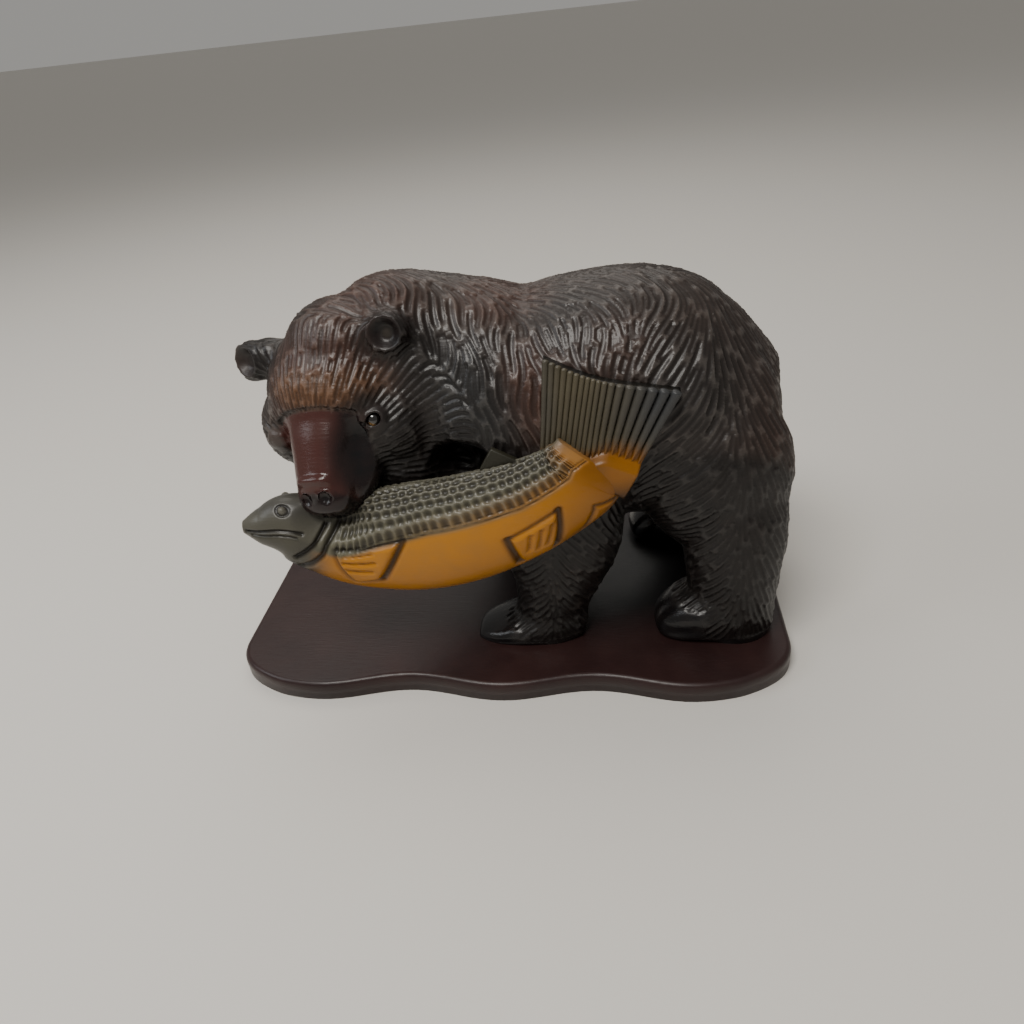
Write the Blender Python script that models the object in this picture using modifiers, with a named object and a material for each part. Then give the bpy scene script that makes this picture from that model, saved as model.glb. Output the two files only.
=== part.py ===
"""A carved and lacquered wooden bear with a salmon in its jaws, on a thin wavy plinth.

The bear, the salmon and the plinth are one block of wood; the two glass eyes are let in.
Metres, +Z up. The origin is in the middle of the plinth's flat underside, +X runs towards
the bear's rump and -Y faces the side that the bear looks to.
"""
import math
import random

import bmesh
import bpy
import numpy as np
from mathutils import Matrix, Vector, kdtree
from mathutils.bvhtree import BVHTree

# Plinth
PLINTH_LENGTH = 0.269
PLINTH_DEPTH = 0.154
PLINTH_THICKNESS = 0.010
PLINTH_CORNER = 0.030
PLINTH_WAVE = 0.0032
PLINTH_WAVE_LENGTH = 0.087
PLINTH_ROUNDING = 0.0025

# Bear and salmon, laid out on a carver's grid with 17 squares to the bear's height
BEAR_HEIGHT = 0.170
GRID_SQUARES = 17
SQUARE = BEAR_HEIGHT / GRID_SQUARES
SET_BACK = 0.005

# Head: its middle on the grid, and how it is turned and bowed
HEAD_CENTRE = (-6.7, -2.6, 12.85)
HEAD_YAW = math.radians(13)
HEAD_ROLL = math.radians(12)
HEAD_BOW = math.radians(38)

# Glass eyes and their sockets
EYE_DIAMETER = 0.0062
EYE_CLEARANCE = 0.0003
EYE_SINK = 0.0010

# Broad flutes of the fur
FLUTE_WIDTH = 0.0115
FLUTE_LENGTH = 0.040
FLUTE_DEPTH = 0.0028

# How fine the forms are worked, and how many triangles they keep
FORM_VOXEL = 0.0016
FORM_SOFTENING = 22
BODY_SIDES = 40
BEAR_TRIANGLES = 6400
SALMON_TRIANGLES = 1200


def clear_scene():
    for old in list(bpy.data.objects):
        bpy.data.objects.remove(old, do_unlink=True)


def new_collection(name):
    group = bpy.data.collections.new(name)
    bpy.context.scene.collection.children.link(group)
    return group


def on_grid(point):
    """A place on the carver's grid, in metres, with the grid's floor on the plinth."""
    x, y, z = point
    return Vector((x * SQUARE, SET_BACK + y * SQUARE, PLINTH_THICKNESS + z * SQUARE))


def to_grid(points):
    """Places in metres, as rows of an array, given on the carver's grid."""
    return (points - np.array((0, SET_BACK, PLINTH_THICKNESS))) / SQUARE


def head_frame():
    """The head's own axes: side towards the near ear, out along the muzzle, and up."""
    side = Vector((math.cos(HEAD_YAW) * math.cos(HEAD_ROLL),
                   -math.sin(HEAD_YAW) * math.cos(HEAD_ROLL),
                   math.sin(HEAD_ROLL)))
    level = Vector((0, -1, 0))
    level = (level - level.dot(side) * side).normalized()
    upright = level.cross(side)
    out = level * math.cos(HEAD_BOW) - upright * math.sin(HEAD_BOW)
    up = upright * math.cos(HEAD_BOW) + level * math.sin(HEAD_BOW)
    return side, out, up


def on_head(side, out, up):
    """A place on the head, in squares from its middle, given back on the carver's grid."""
    axes = head_frame()
    place = Vector(HEAD_CENTRE) + axes[0] * side + axes[1] * out + axes[2] * up
    return tuple(place)


def smooth_run(rows, steps):
    """A smooth curve through rows of numbers, with steps points to each stretch."""
    rows = np.array(rows, float)
    padded = np.vstack([2 * rows[0] - rows[1], rows, 2 * rows[-1] - rows[-2]])
    run = []
    for i in range(len(rows) - 1):
        p0, p1, p2, p3 = padded[i:i + 4]
        for t in np.arange(steps) / steps:
            run.append(0.5 * (2 * p1 + (p2 - p0) * t
                              + (2 * p0 - 5 * p1 + 4 * p2 - p3) * t ** 2
                              + (3 * p1 - p0 - 3 * p2 + p3) * t ** 3))
    run.append(rows[-1])
    return np.array(run)


def loft(name, stations, top=(0, 0, 1), sides=BODY_SIDES, steps=5, square=2.0):
    """A closed form through stations of x, y, z, half width and half height on the grid."""
    run = smooth_run(stations, steps)
    mesh = bpy.data.meshes.new(name)
    form = bmesh.new()
    rings = []
    for i, row in enumerate(run):
        ahead = run[min(i + 1, len(run) - 1), :3] - run[max(i - 1, 0), :3]
        ahead = Vector(ahead).normalized()
        width_axis = Vector(top).cross(ahead).normalized()
        height_axis = ahead.cross(width_axis)
        ring = []
        for k in range(sides):
            turn = 2 * math.pi * k / sides
            across = math.copysign(abs(math.cos(turn)) ** (2 / square), math.cos(turn))
            along = math.copysign(abs(math.sin(turn)) ** (2 / square), math.sin(turn))
            place = Vector(row[:3]) + width_axis * (across * row[3]) + height_axis * (along * row[4])
            ring.append(form.verts.new(on_grid(place)))
        rings.append(ring)
    for near, far in zip(rings, rings[1:]):
        for k in range(sides):
            form.faces.new((near[k], near[(k + 1) % sides], far[(k + 1) % sides], far[k]))
    form.faces.new(rings[0][::-1])
    form.faces.new(rings[-1])
    bmesh.ops.recalc_face_normals(form, faces=form.faces)
    form.to_mesh(mesh)
    form.free()
    return mesh


def ball(name, centre, radii, turn=None, segments=32):
    """An egg shape on the grid; turn is a matrix for its own axes."""
    mesh = bpy.data.meshes.new(name)
    form = bmesh.new()
    bmesh.ops.create_uvsphere(form, u_segments=segments, v_segments=segments // 2, radius=1)
    size = Matrix.Diagonal(Vector(radii) * SQUARE).to_4x4()
    frame = turn.to_4x4() if turn else Matrix.Identity(4)
    form.transform(Matrix.Translation(on_grid(centre)) @ frame @ size)
    form.to_mesh(mesh)
    form.free()
    return mesh


def head_turn():
    side, out, up = head_frame()
    return Matrix((side, out, up)).transposed()


def head_ball(name, place, radii):
    return ball(name, on_head(*place), radii, head_turn())


def head_loft(name, stations, square=2.0):
    """A loft whose stations are side, out, up, half width and half height on the head."""
    rows = [(*on_head(*row[:3]), row[3], row[4]) for row in stations]
    return loft(name, rows, top=head_frame()[2], square=square)


def join(name, meshes):
    """One mesh of many closed forms, which may pass through each other."""
    form = bmesh.new()
    for mesh in meshes:
        form.from_mesh(mesh)
        bpy.data.meshes.remove(mesh)
    joined = bpy.data.meshes.new(name)
    form.to_mesh(joined)
    form.free()
    return joined


def fuse(name, mesh, voxel, smoothing):
    """Melt the forms of one mesh into one skin, and soften where they meet."""
    work = bpy.data.objects.new(name, mesh)
    bpy.context.scene.collection.objects.link(work)
    remesh = work.modifiers.new("one skin", "REMESH")
    remesh.mode = "VOXEL"
    remesh.voxel_size = voxel
    remesh.use_smooth_shade = True
    soften = work.modifiers.new("soften", "SMOOTH")
    soften.factor = 0.5
    soften.iterations = smoothing
    depsgraph = bpy.context.evaluated_depsgraph_get()
    fused = bpy.data.meshes.new_from_object(work.evaluated_get(depsgraph), depsgraph=depsgraph)
    bpy.data.objects.remove(work, do_unlink=True)
    bpy.data.meshes.remove(mesh)
    fused.name = name
    return fused


def trunk():
    """Rump, barrel, shoulders and the neck that swings round to the near side."""
    return loft("trunk", [
        (12.8, -0.3, 9.0, 1.0, 1.4),
        (12.4, -0.3, 9.0, 2.4, 2.6),
        (11.5, -0.2, 9.2, 3.6, 3.6),
        (10.2, -0.1, 9.5, 4.4, 4.6),
        (8.7, 0.0, 9.9, 4.9, 5.3),
        (6.7, 0.0, 10.5, 5.1, 5.8),
        (4.3, 0.0, 10.6, 5.1, 5.6),
        (1.5, 0.0, 10.4, 5.0, 5.3),
        (-1.2, -0.2, 11.0, 4.6, 5.4),
        (-3.2, -0.6, 11.7, 3.8, 5.2),
        (-4.9, -1.4, 12.3, 3.3, 4.9),
        (-6.3, -2.4, 12.5, 2.6, 3.6),
    ])


def front_leg(name, x, y, outward):
    """A front leg from the shoulder down to its paw; outward is -1 on the near side."""
    return [
        loft(name, [
            (x - 0.6, y * 0.72, 11.5, 1.6, 2.4),
            (x - 0.4, y * 0.9, 9.0, 2.0, 3.1),
            (x + 0.1, y, 5.5, 2.0, 3.1),
            (x - 0.1, y + 0.1 * outward, 3.0, 1.8, 2.2),
            (x - 0.5, y + 0.2 * outward, 1.2, 1.6, 1.7),
            (x - 0.6, y + 0.2 * outward, -0.3, 1.6, 1.7),
        ], top=(1, 0, 0)),
        loft(name + " paw", [
            (x + 1.2, y + 0.2 * outward, 0.5, 1.0, 0.9),
            (x + 0.2, y + 0.3 * outward, 0.7, 1.5, 1.1),
            (x - 1.4, y + 0.4 * outward, 0.5, 1.65, 0.9),
            (x - 3.0, y + 0.35 * outward, 0.15, 1.5, 0.6),
            (x - 4.1, y + 0.3 * outward, -0.1, 1.0, 0.35),
        ], square=2.3),
    ]


def hind_leg(name, x, y, outward):
    """A hind leg: the round thigh, the shank and the long flat foot."""
    return [
        ball(name + " thigh", (x - 1.1, y * 0.8, 8.0), (3.5, 2.3, 4.0)),
        loft(name, [
            (x - 0.9, y * 0.6, 9.5, 2.0, 2.6),
            (x - 0.2, y * 0.88, 6.0, 2.0, 2.5),
            (x - 0.1, y + 0.1 * outward, 3.2, 1.8, 2.2),
            (x + 0.0, y + 0.2 * outward, 1.2, 1.7, 1.9),
            (x + 0.0, y + 0.2 * outward, -0.3, 1.6, 1.8),
        ], top=(1, 0, 0)),
        loft(name + " foot", [
            (x + 1.6, y + 0.1 * outward, 0.4, 1.0, 0.8),
            (x + 0.4, y + 0.25 * outward, 0.9, 1.6, 1.5),
            (x - 1.3, y + 0.3 * outward, 1.1, 1.75, 1.5),
            (x - 2.7, y + 0.3 * outward, 0.6, 1.5, 1.1),
            (x - 3.5, y + 0.25 * outward, 0.2, 1.0, 0.6),
        ], square=2.3),
    ]


def skull():
    return [
        head_ball("skull", (0, 0.0, -0.4), (3.3, 3.3, 2.9)),
        head_ball("forehead", (0, 0.9, 0.2), (2.3, 2.0, 1.9)),
        head_ball("crown", (0.6, -1.3, 0.8), (2.4, 2.2, 2.0)),
        head_ball("near cheek", (2.3, 1.1, -1.7), (2.0, 2.3, 2.2)),
        head_ball("far cheek", (-2.5, 1.1, -1.1), (1.6, 2.0, 2.1)),
        ball("throat", (-3.9, -2.6, 9.0), (2.3, 2.4, 2.4)),
    ]


def muzzle():
    return [
        head_loft("muzzle", [
            (0, 1.2, -0.2, 2.1, 1.9),
            (0, 2.4, 0.0, 1.75, 1.6),
            (0, 3.6, -0.15, 1.5, 1.35),
            (0, 4.6, -0.5, 1.35, 1.2),
            (0, 5.2, -0.75, 1.15, 1.0),
            (0, 5.5, -0.85, 0.8, 0.7),
        ], square=2.6),
        head_loft("lips", [
            (0.3, 1.5, -1.2, 2.2, 1.3),
            (0.3, 3.0, -1.2, 2.0, 1.25),
            (0.15, 4.3, -1.25, 1.75, 1.1),
            (0.0, 5.1, -1.3, 1.3, 0.85),
            (0.0, 5.5, -1.35, 0.8, 0.5),
        ]),
        head_ball("nose pad", (-0.1, 4.9, -1.3), (1.35, 0.95, 0.95)),
        head_loft("lower jaw", [
            (0, 1.5, -2.0, 1.6, 0.9),
            (0, 3.2, -2.1, 1.4, 0.8),
            (0, 4.9, -2.2, 1.0, 0.6),
        ]),
    ]


# An ear, its root and its cup, on the head
EAR_PLACE = (3.6, -1.05, 1.35)
EAR_RADII = (1.05, 1.0, 0.75)
EAR_ROOT = (2.8, -1.2, 1.0)
EAR_ROOT_RADII = (1.2, 0.9, 1.1)
EAR_CUP_REACH = 0.88
EAR_CUP_DEPTH = 0.62


def ear_place(sign):
    side, out, up = EAR_PLACE
    return on_head(sign * side, out, up)


def ear_facing(sign):
    """The way the ear's hollow looks: forward, up and a little to its own side."""
    side, out, up = head_frame()
    return (out * 0.55 + up * 0.8 + side * 0.25 * sign).normalized()


def ear(sign):
    """A round ear and its root on the head."""
    facing = ear_facing(sign)
    side = head_frame()[0]
    across = (side - side.dot(facing) * facing).normalized()
    turn = Matrix((across, facing.cross(across), facing)).transposed()
    side, out, up = EAR_ROOT
    return [
        ball("ear", ear_place(sign), EAR_RADII, turn),
        head_ball("ear root", (sign * side, out, up), EAR_ROOT_RADII),
    ]


# Each leg's place on the grid, and which way is outward from the bear
FRONT_LEGS = {"near front leg": (2.7, -3.7, -1), "far front leg": (0.6, 3.6, 1)}
HIND_LEGS = {"near hind leg": (10.9, -3.7, -1), "far hind leg": (9.9, 3.7, 1)}

# Swellings of the flank that carry the tail fin, and the fullness of the rump
TAIL_SEAT = (4.5, -4.5, 9.6)
TAIL_SEAT_RADII = (2.6, 1.15, 1.6)
FAN_SEAT = (5.0, -3.7, 11.4)
FAN_SEAT_RADII = (3.6, 1.15, 2.9)
RUMP_FILL = (10.8, -1.9, 10.2)
RUMP_FILL_RADII = (1.9, 2.2, 3.0)


def bear_form():
    """The bear's masses melted into one skin."""
    body = [trunk(), ball("tail seat", TAIL_SEAT, TAIL_SEAT_RADII)]
    body += [ball("fan seat", FAN_SEAT, FAN_SEAT_RADII), ball("rump", RUMP_FILL, RUMP_FILL_RADII)]
    for name, (x, y, outward) in FRONT_LEGS.items():
        body += front_leg(name, x, y, outward)
    for name, (x, y, outward) in HIND_LEGS.items():
        body += hind_leg(name, x, y, outward)
    body += skull()
    body += muzzle()
    body += ear(1) + ear(-1)
    return fuse("bear", join("bear", body), FORM_VOXEL, FORM_SOFTENING)


SALMON = [
    (-10.75, -6.5, 7.95, 0.25, 0.3),
    (-10.0, -6.35, 7.9, 0.8, 0.85),
    (-8.9, -6.1, 7.75, 1.15, 1.5),
    (-7.6, -5.8, 7.05, 1.35, 1.95),
    (-5.8, -5.65, 6.5, 1.45, 2.4),
    (-3.4, -5.75, 6.65, 1.45, 2.7),
    (-0.9, -5.8, 7.15, 1.45, 2.6),
    (1.6, -5.7, 8.0, 1.3, 2.3),
    (3.6, -5.5, 9.0, 1.1, 2.0),
    (4.2, -5.4, 9.6, 0.75, 1.95),
    (4.6, -5.25, 10.1, 0.3, 1.85),
]

# Where the upper lip presses into the salmon
BITE_PLACE = (-6.4, -6.9, 8.4)
BITE_REACH = (2.0, 1.4, 1.3)
BITE_DEPTH = 0.6
SALMON_STEPS = 12
SALMON_SIDES = 64


def salmon_form():
    return loft("salmon", SALMON, sides=SALMON_SIDES, steps=SALMON_STEPS)


# The salmon's carving, as shares of its length and of its height above the middle of its side
MOUTH = ((0.02, 0.0), (0.11, 0.2), (0.24, 0.25))
GILL_COVERS = (((0.335, 0.6), (0.322, 0.25), (0.317, -0.1), (0.275, -0.75)),
               ((0.300, 0.5), (0.285, 0.1), (0.25, -0.5)))
SIDE_LINE = ((0.35, 0.0), (0.46, 0.27), (0.55, 0.36), (0.63, 0.36), (0.71, 0.33), (0.81, 0.4), (0.91, 0.42))
BREAST_FIN = ((0.342, 0.10), (0.50, 0.29), (0.442, -0.47), (0.392, -0.63))
BELLY_FIN = ((0.665, -0.15), (0.725, -0.08), (0.762, -0.05), (0.72, -0.85), (0.66, -0.8))
VENT_FIN = ((0.767, -0.9), (0.825, -0.5), (0.867, -0.85))
BREAST_FIN_RAYS = (((0.37, 0.02), (0.44, 0.12)), ((0.37, -0.12), (0.44, -0.06)), ((0.38, -0.28), (0.43, -0.25)))
BELLY_FIN_RAYS = (
    ((0.685, -0.55), (0.70, -0.25)),
    ((0.70, -0.6), (0.72, -0.25)),
    ((0.715, -0.6), (0.74, -0.25)),
)
SALMON_EYE = (0.185, 0.80)
SALMON_LENGTH = 20.5

# Width and depth of the cut lines, and how far the fins stand up, in squares
MOUTH_CUT = (0.3, 0.12)
GILL_CUT = (0.36, 0.14)
SIDE_LINE_CUT = (0.2, 0.06)
RAY_CUT = (0.2, 0.08)
FINS = ((BREAST_FIN, 0.16), (BELLY_FIN, 0.16), (VENT_FIN, 0.12))
FIN_SLOPE = 0.2
FIN_MOAT = 0.06
SALMON_EYE_RADIUS = 0.22
SALMON_EYE_LIFT = 0.12
SALMON_EYE_RING = (0.3, 0.1, 0.08)


def side_places(points):
    """Carving points of the salmon's side as squares along it and squares up its skin."""
    halves = smooth_run(SALMON, SALMON_STEPS)[:, 4]
    placed = []
    for along, height in points:
        half = halves[min(int(along * (len(halves) - 1)), len(halves) - 1)]
        placed.append((along * SALMON_LENGTH, math.asin(height) * half))
    return np.array(placed)


def gap_to_path(places, path):
    """How far each place on the skin lies from a run of straight stretches."""
    gaps = np.full(len(places), 1e9)
    for start, end in zip(path, path[1:]):
        way = end - start
        share = np.clip(((places - start) @ way) / (way @ way), 0, 1)
        gaps = np.minimum(gaps, np.linalg.norm(places - start - share[:, None] * way, axis=1))
    return gaps


def inside(places, corners):
    """True for the places inside a closed outline."""
    within = np.zeros(len(places), bool)
    for (ax, ay), (bx, by) in zip(corners, np.roll(corners, -1, axis=0)):
        crosses = (ay > places[:, 1]) != (by > places[:, 1])
        rise = np.where(abs(by - ay) < 1e-9, 1e-9, by - ay)
        within ^= crosses & (places[:, 0] < (bx - ax) * (places[:, 1] - ay) / rise + ax)
    return within


def carve_salmon(mesh):
    """Mouth, eyes, gill covers, side line and fins, cut and raised on the salmon's skin."""
    points, normals = surface(mesh)
    halves = smooth_run(SALMON, SALMON_STEPS)[:, 4]
    ring = np.arange(len(points)) // SALMON_SIDES
    turn = 2 * np.pi * (np.arange(len(points)) % SALMON_SIDES) / SALMON_SIDES
    height = np.arcsin(np.clip(np.sin(turn), -1, 1)) * halves[ring]
    near = np.cos(turn) < 0
    places = np.stack([ring / (len(halves) - 1) * SALMON_LENGTH, height], 1)
    rise = np.zeros(len(points))

    def cut(path, size):
        width, depth = size
        gap = gap_to_path(places, side_places(path))
        return -depth * np.clip(1 - (gap / (width / 2)) ** 2, 0, 1)

    rise += cut(MOUTH, MOUTH_CUT)
    for cover in GILL_COVERS:
        rise += cut(cover, GILL_CUT)
    rise += cut(SIDE_LINE, SIDE_LINE_CUT)
    for fin, lift in FINS:
        outline = side_places(fin)
        edge = gap_to_path(places, np.vstack([outline, outline[:1]])) / FIN_SLOPE
        held = inside(places, outline) & near
        rise += np.where(held, lift * np.clip(edge, 0, 1), 0)
        rise -= np.where(~held & near, FIN_MOAT * np.clip(1 - edge, 0, 1), 0)
    for ray in BREAST_FIN_RAYS + BELLY_FIN_RAYS:
        rise += np.where(near, cut(ray, RAY_CUT), 0)
    from_eye = np.linalg.norm(places - side_places([SALMON_EYE])[0], axis=1)
    ring_radius, ring_width, ring_depth = SALMON_EYE_RING
    rise += SALMON_EYE_LIFT * np.clip(1 - (from_eye / SALMON_EYE_RADIUS) ** 2, 0, 1)
    rise -= ring_depth * np.clip(1 - abs(from_eye - ring_radius) / ring_width, 0, 1)
    set_points(mesh, points + normals * (rise * SQUARE)[:, None])


# Corners of the small fin on the salmon's back
BACK_FIN = (
    (-0.2, -5.65, 9.6),
    (-0.1, -5.6, 10.0),
    (0.42, -5.45, 10.8),
    (1.5, -5.55, 10.25),
    (1.3, -5.65, 9.7),
)
BACK_FIN_THICKNESS = 0.3


def back_fin_form():
    """The small soft fin on the salmon's back, a plate with its foot in the salmon."""
    mesh = bpy.data.meshes.new("back fin")
    form = bmesh.new()
    face = form.faces.new([form.verts.new(on_grid(corner)) for corner in BACK_FIN])
    lift = bmesh.ops.extrude_face_region(form, geom=[face])
    raised = [v for v in lift["geom"] if isinstance(v, bmesh.types.BMVert)]
    bmesh.ops.translate(form, verts=raised, vec=(0, BACK_FIN_THICKNESS * SQUARE, 0))
    bmesh.ops.recalc_face_normals(form, faces=form.faces)
    form.to_mesh(mesh)
    form.free()
    return mesh


# The tail fin spreads between two curves, from its root to its notched edge
FAN_RIDGES = 18
FAN_RIDGE_DEPTH = 0.13
FAN_RIDGE_AT_ROOT = 0.6
FAN_ROWS = 3
FAN_RUN = 20
FAN_BACK_DROP = 0.1
FAN_THICKNESS = 0.8
FAN_ROOT = [(2.4, -5.15, 10.2), (3.6, -5.45, 10.2), (4.8, -5.5, 9.75), (6.1, -5.25, 8.9)]
FAN_TIPS = [(2.75, -4.6, 14.3), (4.2, -4.95, 13.7), (5.6, -5.3, 13.4), (8.15, -5.4, 13.0)]


def fan_form():
    """The tail fin: ridges that spread from the root up to the notched edge."""
    root = smooth_run(FAN_ROOT, FAN_RUN)
    tips = smooth_run(FAN_TIPS, FAN_RUN)
    rows = FAN_ROWS
    columns = FAN_RIDGES * 2 + 1
    mesh = bpy.data.meshes.new("fan")
    form = bmesh.new()
    front, back = [], []
    for r in range(rows):
        share = r / (rows - 1)
        line_front, line_back = [], []
        for c in range(columns):
            t = c / (columns - 1)
            low = root[round(t * (len(root) - 1))]
            high = tips[round(t * (len(tips) - 1))]
            place = Vector(low + (high - low) * share)
            depth = FAN_RIDGE_DEPTH * (FAN_RIDGE_AT_ROOT + (1 - FAN_RIDGE_AT_ROOT) * share)
            ridge = depth * (1 if c % 2 else -1)
            line_front.append(form.verts.new(on_grid(place + Vector((0, -ridge, 0)))))
            line_back.append(form.verts.new(on_grid(place + Vector((0, FAN_THICKNESS, -FAN_BACK_DROP)))))
        front.append(line_front)
        back.append(line_back)
    for r in range(rows - 1):
        for c in range(columns - 1):
            form.faces.new((front[r][c], front[r][c + 1], front[r + 1][c + 1], front[r + 1][c]))
            form.faces.new((back[r][c], back[r + 1][c], back[r + 1][c + 1], back[r][c + 1]))
    for c in range(columns - 1):
        form.faces.new((front[0][c], back[0][c], back[0][c + 1], front[0][c + 1]))
        form.faces.new((front[-1][c], front[-1][c + 1], back[-1][c + 1], back[-1][c]))
    for r in range(rows - 1):
        form.faces.new((front[r][0], front[r + 1][0], back[r + 1][0], back[r][0]))
        form.faces.new((front[r][-1], back[r][-1], back[r + 1][-1], front[r + 1][-1]))
    bmesh.ops.recalc_face_normals(form, faces=form.faces)
    form.to_mesh(mesh)
    form.free()
    return mesh


# Points to each rounded corner and each side of the plinth
PLINTH_STEPS = 8
PLINTH_STRAIGHT = 13


def plinth_outline():
    """The wavy outline: a rounded rectangle whose long sides swell in slow waves."""
    points = []
    half_x = PLINTH_LENGTH / 2
    half_y = PLINTH_DEPTH / 2
    corners = [(1, 1, 0), (-1, 1, 90), (-1, -1, 180), (1, -1, 270)]
    ends = []
    for sx, sy, start in corners:
        centre = Vector((sx * (half_x - PLINTH_CORNER), sy * (half_y - PLINTH_CORNER)))
        arc = []
        for k in range(PLINTH_STEPS + 1):
            turn = math.radians(start + 90 * k / PLINTH_STEPS)
            arc.append(centre + PLINTH_CORNER * Vector((math.cos(turn), math.sin(turn))))
        ends.append(arc)
    for arc, following in zip(ends, ends[1:] + ends[:1]):
        points += arc
        for k in range(1, PLINTH_STRAIGHT):
            points.append(arc[-1].lerp(following[0], k / PLINTH_STRAIGHT))
    waved = []
    for point in points:
        swell = PLINTH_WAVE * (math.cos(2 * math.pi * point.x / PLINTH_WAVE_LENGTH) - 1)
        share = min(1.0, abs(point.y) / half_y) ** 4
        waved.append(Vector((point.x, point.y + math.copysign(1, point.y) * swell * share)))
    return waved


def plinth_form():
    mesh = bpy.data.meshes.new("plinth")
    form = bmesh.new()
    outline = plinth_outline()
    low = [form.verts.new((p.x, p.y, 0)) for p in outline]
    base = form.faces.new(low)
    lift = bmesh.ops.extrude_face_region(form, geom=[base])
    raised = [v for v in lift["geom"] if isinstance(v, bmesh.types.BMVert)]
    bmesh.ops.translate(form, verts=raised, vec=(0, 0, PLINTH_THICKNESS))
    top_edges = [e for e in form.edges if all(v.co.z > PLINTH_THICKNESS / 2 for v in e.verts)]
    bmesh.ops.bevel(form, geom=top_edges, offset=PLINTH_ROUNDING, segments=2, profile=0.5,
                    affect="EDGES", clamp_overlap=True)
    bmesh.ops.recalc_face_normals(form, faces=form.faces)
    form.to_mesh(mesh)
    form.free()
    return mesh


def surface(mesh):
    """The mesh's points and their outward directions, as rows of two arrays."""
    points = np.empty(len(mesh.vertices) * 3)
    mesh.vertices.foreach_get("co", points)
    normals = np.empty(len(mesh.vertices) * 3)
    mesh.vertices.foreach_get("normal", normals)
    return points.reshape(-1, 3), normals.reshape(-1, 3)


def set_points(mesh, points):
    mesh.vertices.foreach_set("co", points.reshape(-1))
    mesh.update()


def ease(value, low, high):
    """0 below low, 1 above high, and an S between them."""
    share = np.clip((value - low) / (high - low), 0, 1)
    return share * share * (3 - 2 * share)


def head_places(places):
    """Grid places given as side, out and up on the head."""
    axes = np.array([tuple(axis) for axis in head_frame()])
    return (places - np.array(HEAD_CENTRE)) @ axes.T


# How the hair lies: it fans off the nose, and it leans along x by these runs of x and lean
NOSE = (0, 4.7, 0.2)
HIND_PARTING = ((1.0, 11.0), (6.2, 10.8), (9.2, 10.6), (12.0, 10.2), (15.0, 9.7))
FLANK_LEAN = (
    (-8.0, 0.3), (-4.0, 0.25), (-1.0, 0.0), (2.0, 0.5),
    (4.0, 0.3), (6.5, 0.0), (9.0, -0.6), (10.5, -0.8),
)
FRONT_PARTING = 2.5
LEAN_BEHIND = 0.7
LEAN_ON_LEG = 0.6
LEAN_ON_TOP = 1.4
PARTING_WIDTH = 0.3


def fur_flow(points, normals):
    """The way the hair lies at each point: off the nose, over the crown, then down the sides."""
    places = to_grid(points)
    x, y, z = places.T
    lean = np.interp(x, *zip(*FLANK_LEAN))
    parting = np.interp(z, *zip(*HIND_PARTING))
    behind = ease(x, parting - PARTING_WIDTH, parting + PARTING_WIDTH)
    lean = lean * (1 - behind) + LEAN_BEHIND * behind
    on_front_leg = ease(-z, -8.0, -6.0) * ease(-x, -7.0, -6.0)
    off_parting = np.tanh((x - FRONT_PARTING) / PARTING_WIDTH)
    lean = lean * (1 - on_front_leg) + LEAN_ON_LEG * off_parting * on_front_leg
    lean = lean + LEAN_ON_TOP * ease(normals[:, 2], 0.75, 0.98)
    down = np.stack([lean, np.zeros_like(x), -np.ones_like(x)], 1)
    down[:, 1] = 0.6 * np.sign(y) * ease(normals[:, 2], 0.3, 0.9)
    off_nose = places - np.array(on_head(*NOSE))
    reach = np.linalg.norm(off_nose, axis=1)
    off_nose = off_nose / reach[:, None]
    on_head_share = ease(-reach, -8.0, -6.0)[:, None]
    flow = off_nose * on_head_share + down * (1 - on_head_share)
    flow -= (flow * normals).sum(1)[:, None] * normals
    return flow / np.maximum(np.linalg.norm(flow, axis=1), 1e-6)[:, None]


MUZZLE_STARTS = (1.9, 2.3)
MUZZLE_SIDES = (-2.3, -2.0)


def muzzle_share(places):
    """1 on the bare muzzle and 0 on the furred head behind it."""
    side, out, up = head_places(places).T
    return ease(out, *MUZZLE_STARTS) * ease(-np.abs(side), *MUZZLE_SIDES)


def fur_cover(points, normals):
    """1 where the wood is cut as fur and 0 where it is left smooth."""
    places = to_grid(points)
    x, y, z = places.T
    cover = 1 - muzzle_share(places)
    for sign in (1, -1):
        from_ear = np.linalg.norm(places - np.array(ear_place(sign)), axis=1)
        cover = cover * ease(from_ear, 1.1, 1.5)
    for seat, radii in ((TAIL_SEAT, TAIL_SEAT_RADII), (FAN_SEAT, FAN_SEAT_RADII)):
        from_seat = np.linalg.norm((places - np.array(seat)) / np.array(radii), axis=1)
        cover = cover * ease(from_seat, 1.0, 1.3)
    front_paw = ease(-z, -1.6, -1.1) * ease(-x, -6.0, -5.0)
    hind_foot = ease(-z, -2.6, -2.1) * ease(x, 5.0, 6.0) * ease(-x, -11.0, -10.2)
    cover = cover * (1 - front_paw) * (1 - hind_foot)
    cover = cover * ease(z, 0.3, 0.8)
    return cover * ease(normals[:, 2], -0.75, -0.45)


# A stroke starts this many widths from its neighbours and stops nearer than the second
START_GAP = 0.8
MEET_GAP = 0.62
STEP_SHARE = 0.25
LENGTH_SPREAD = (0.7, 1.2)
SHORTEST_STROKE = 5
TAPER = (0.3, 0.8)
GOUGE_REACH = 0.55
FUR_SEED = 7


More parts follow.
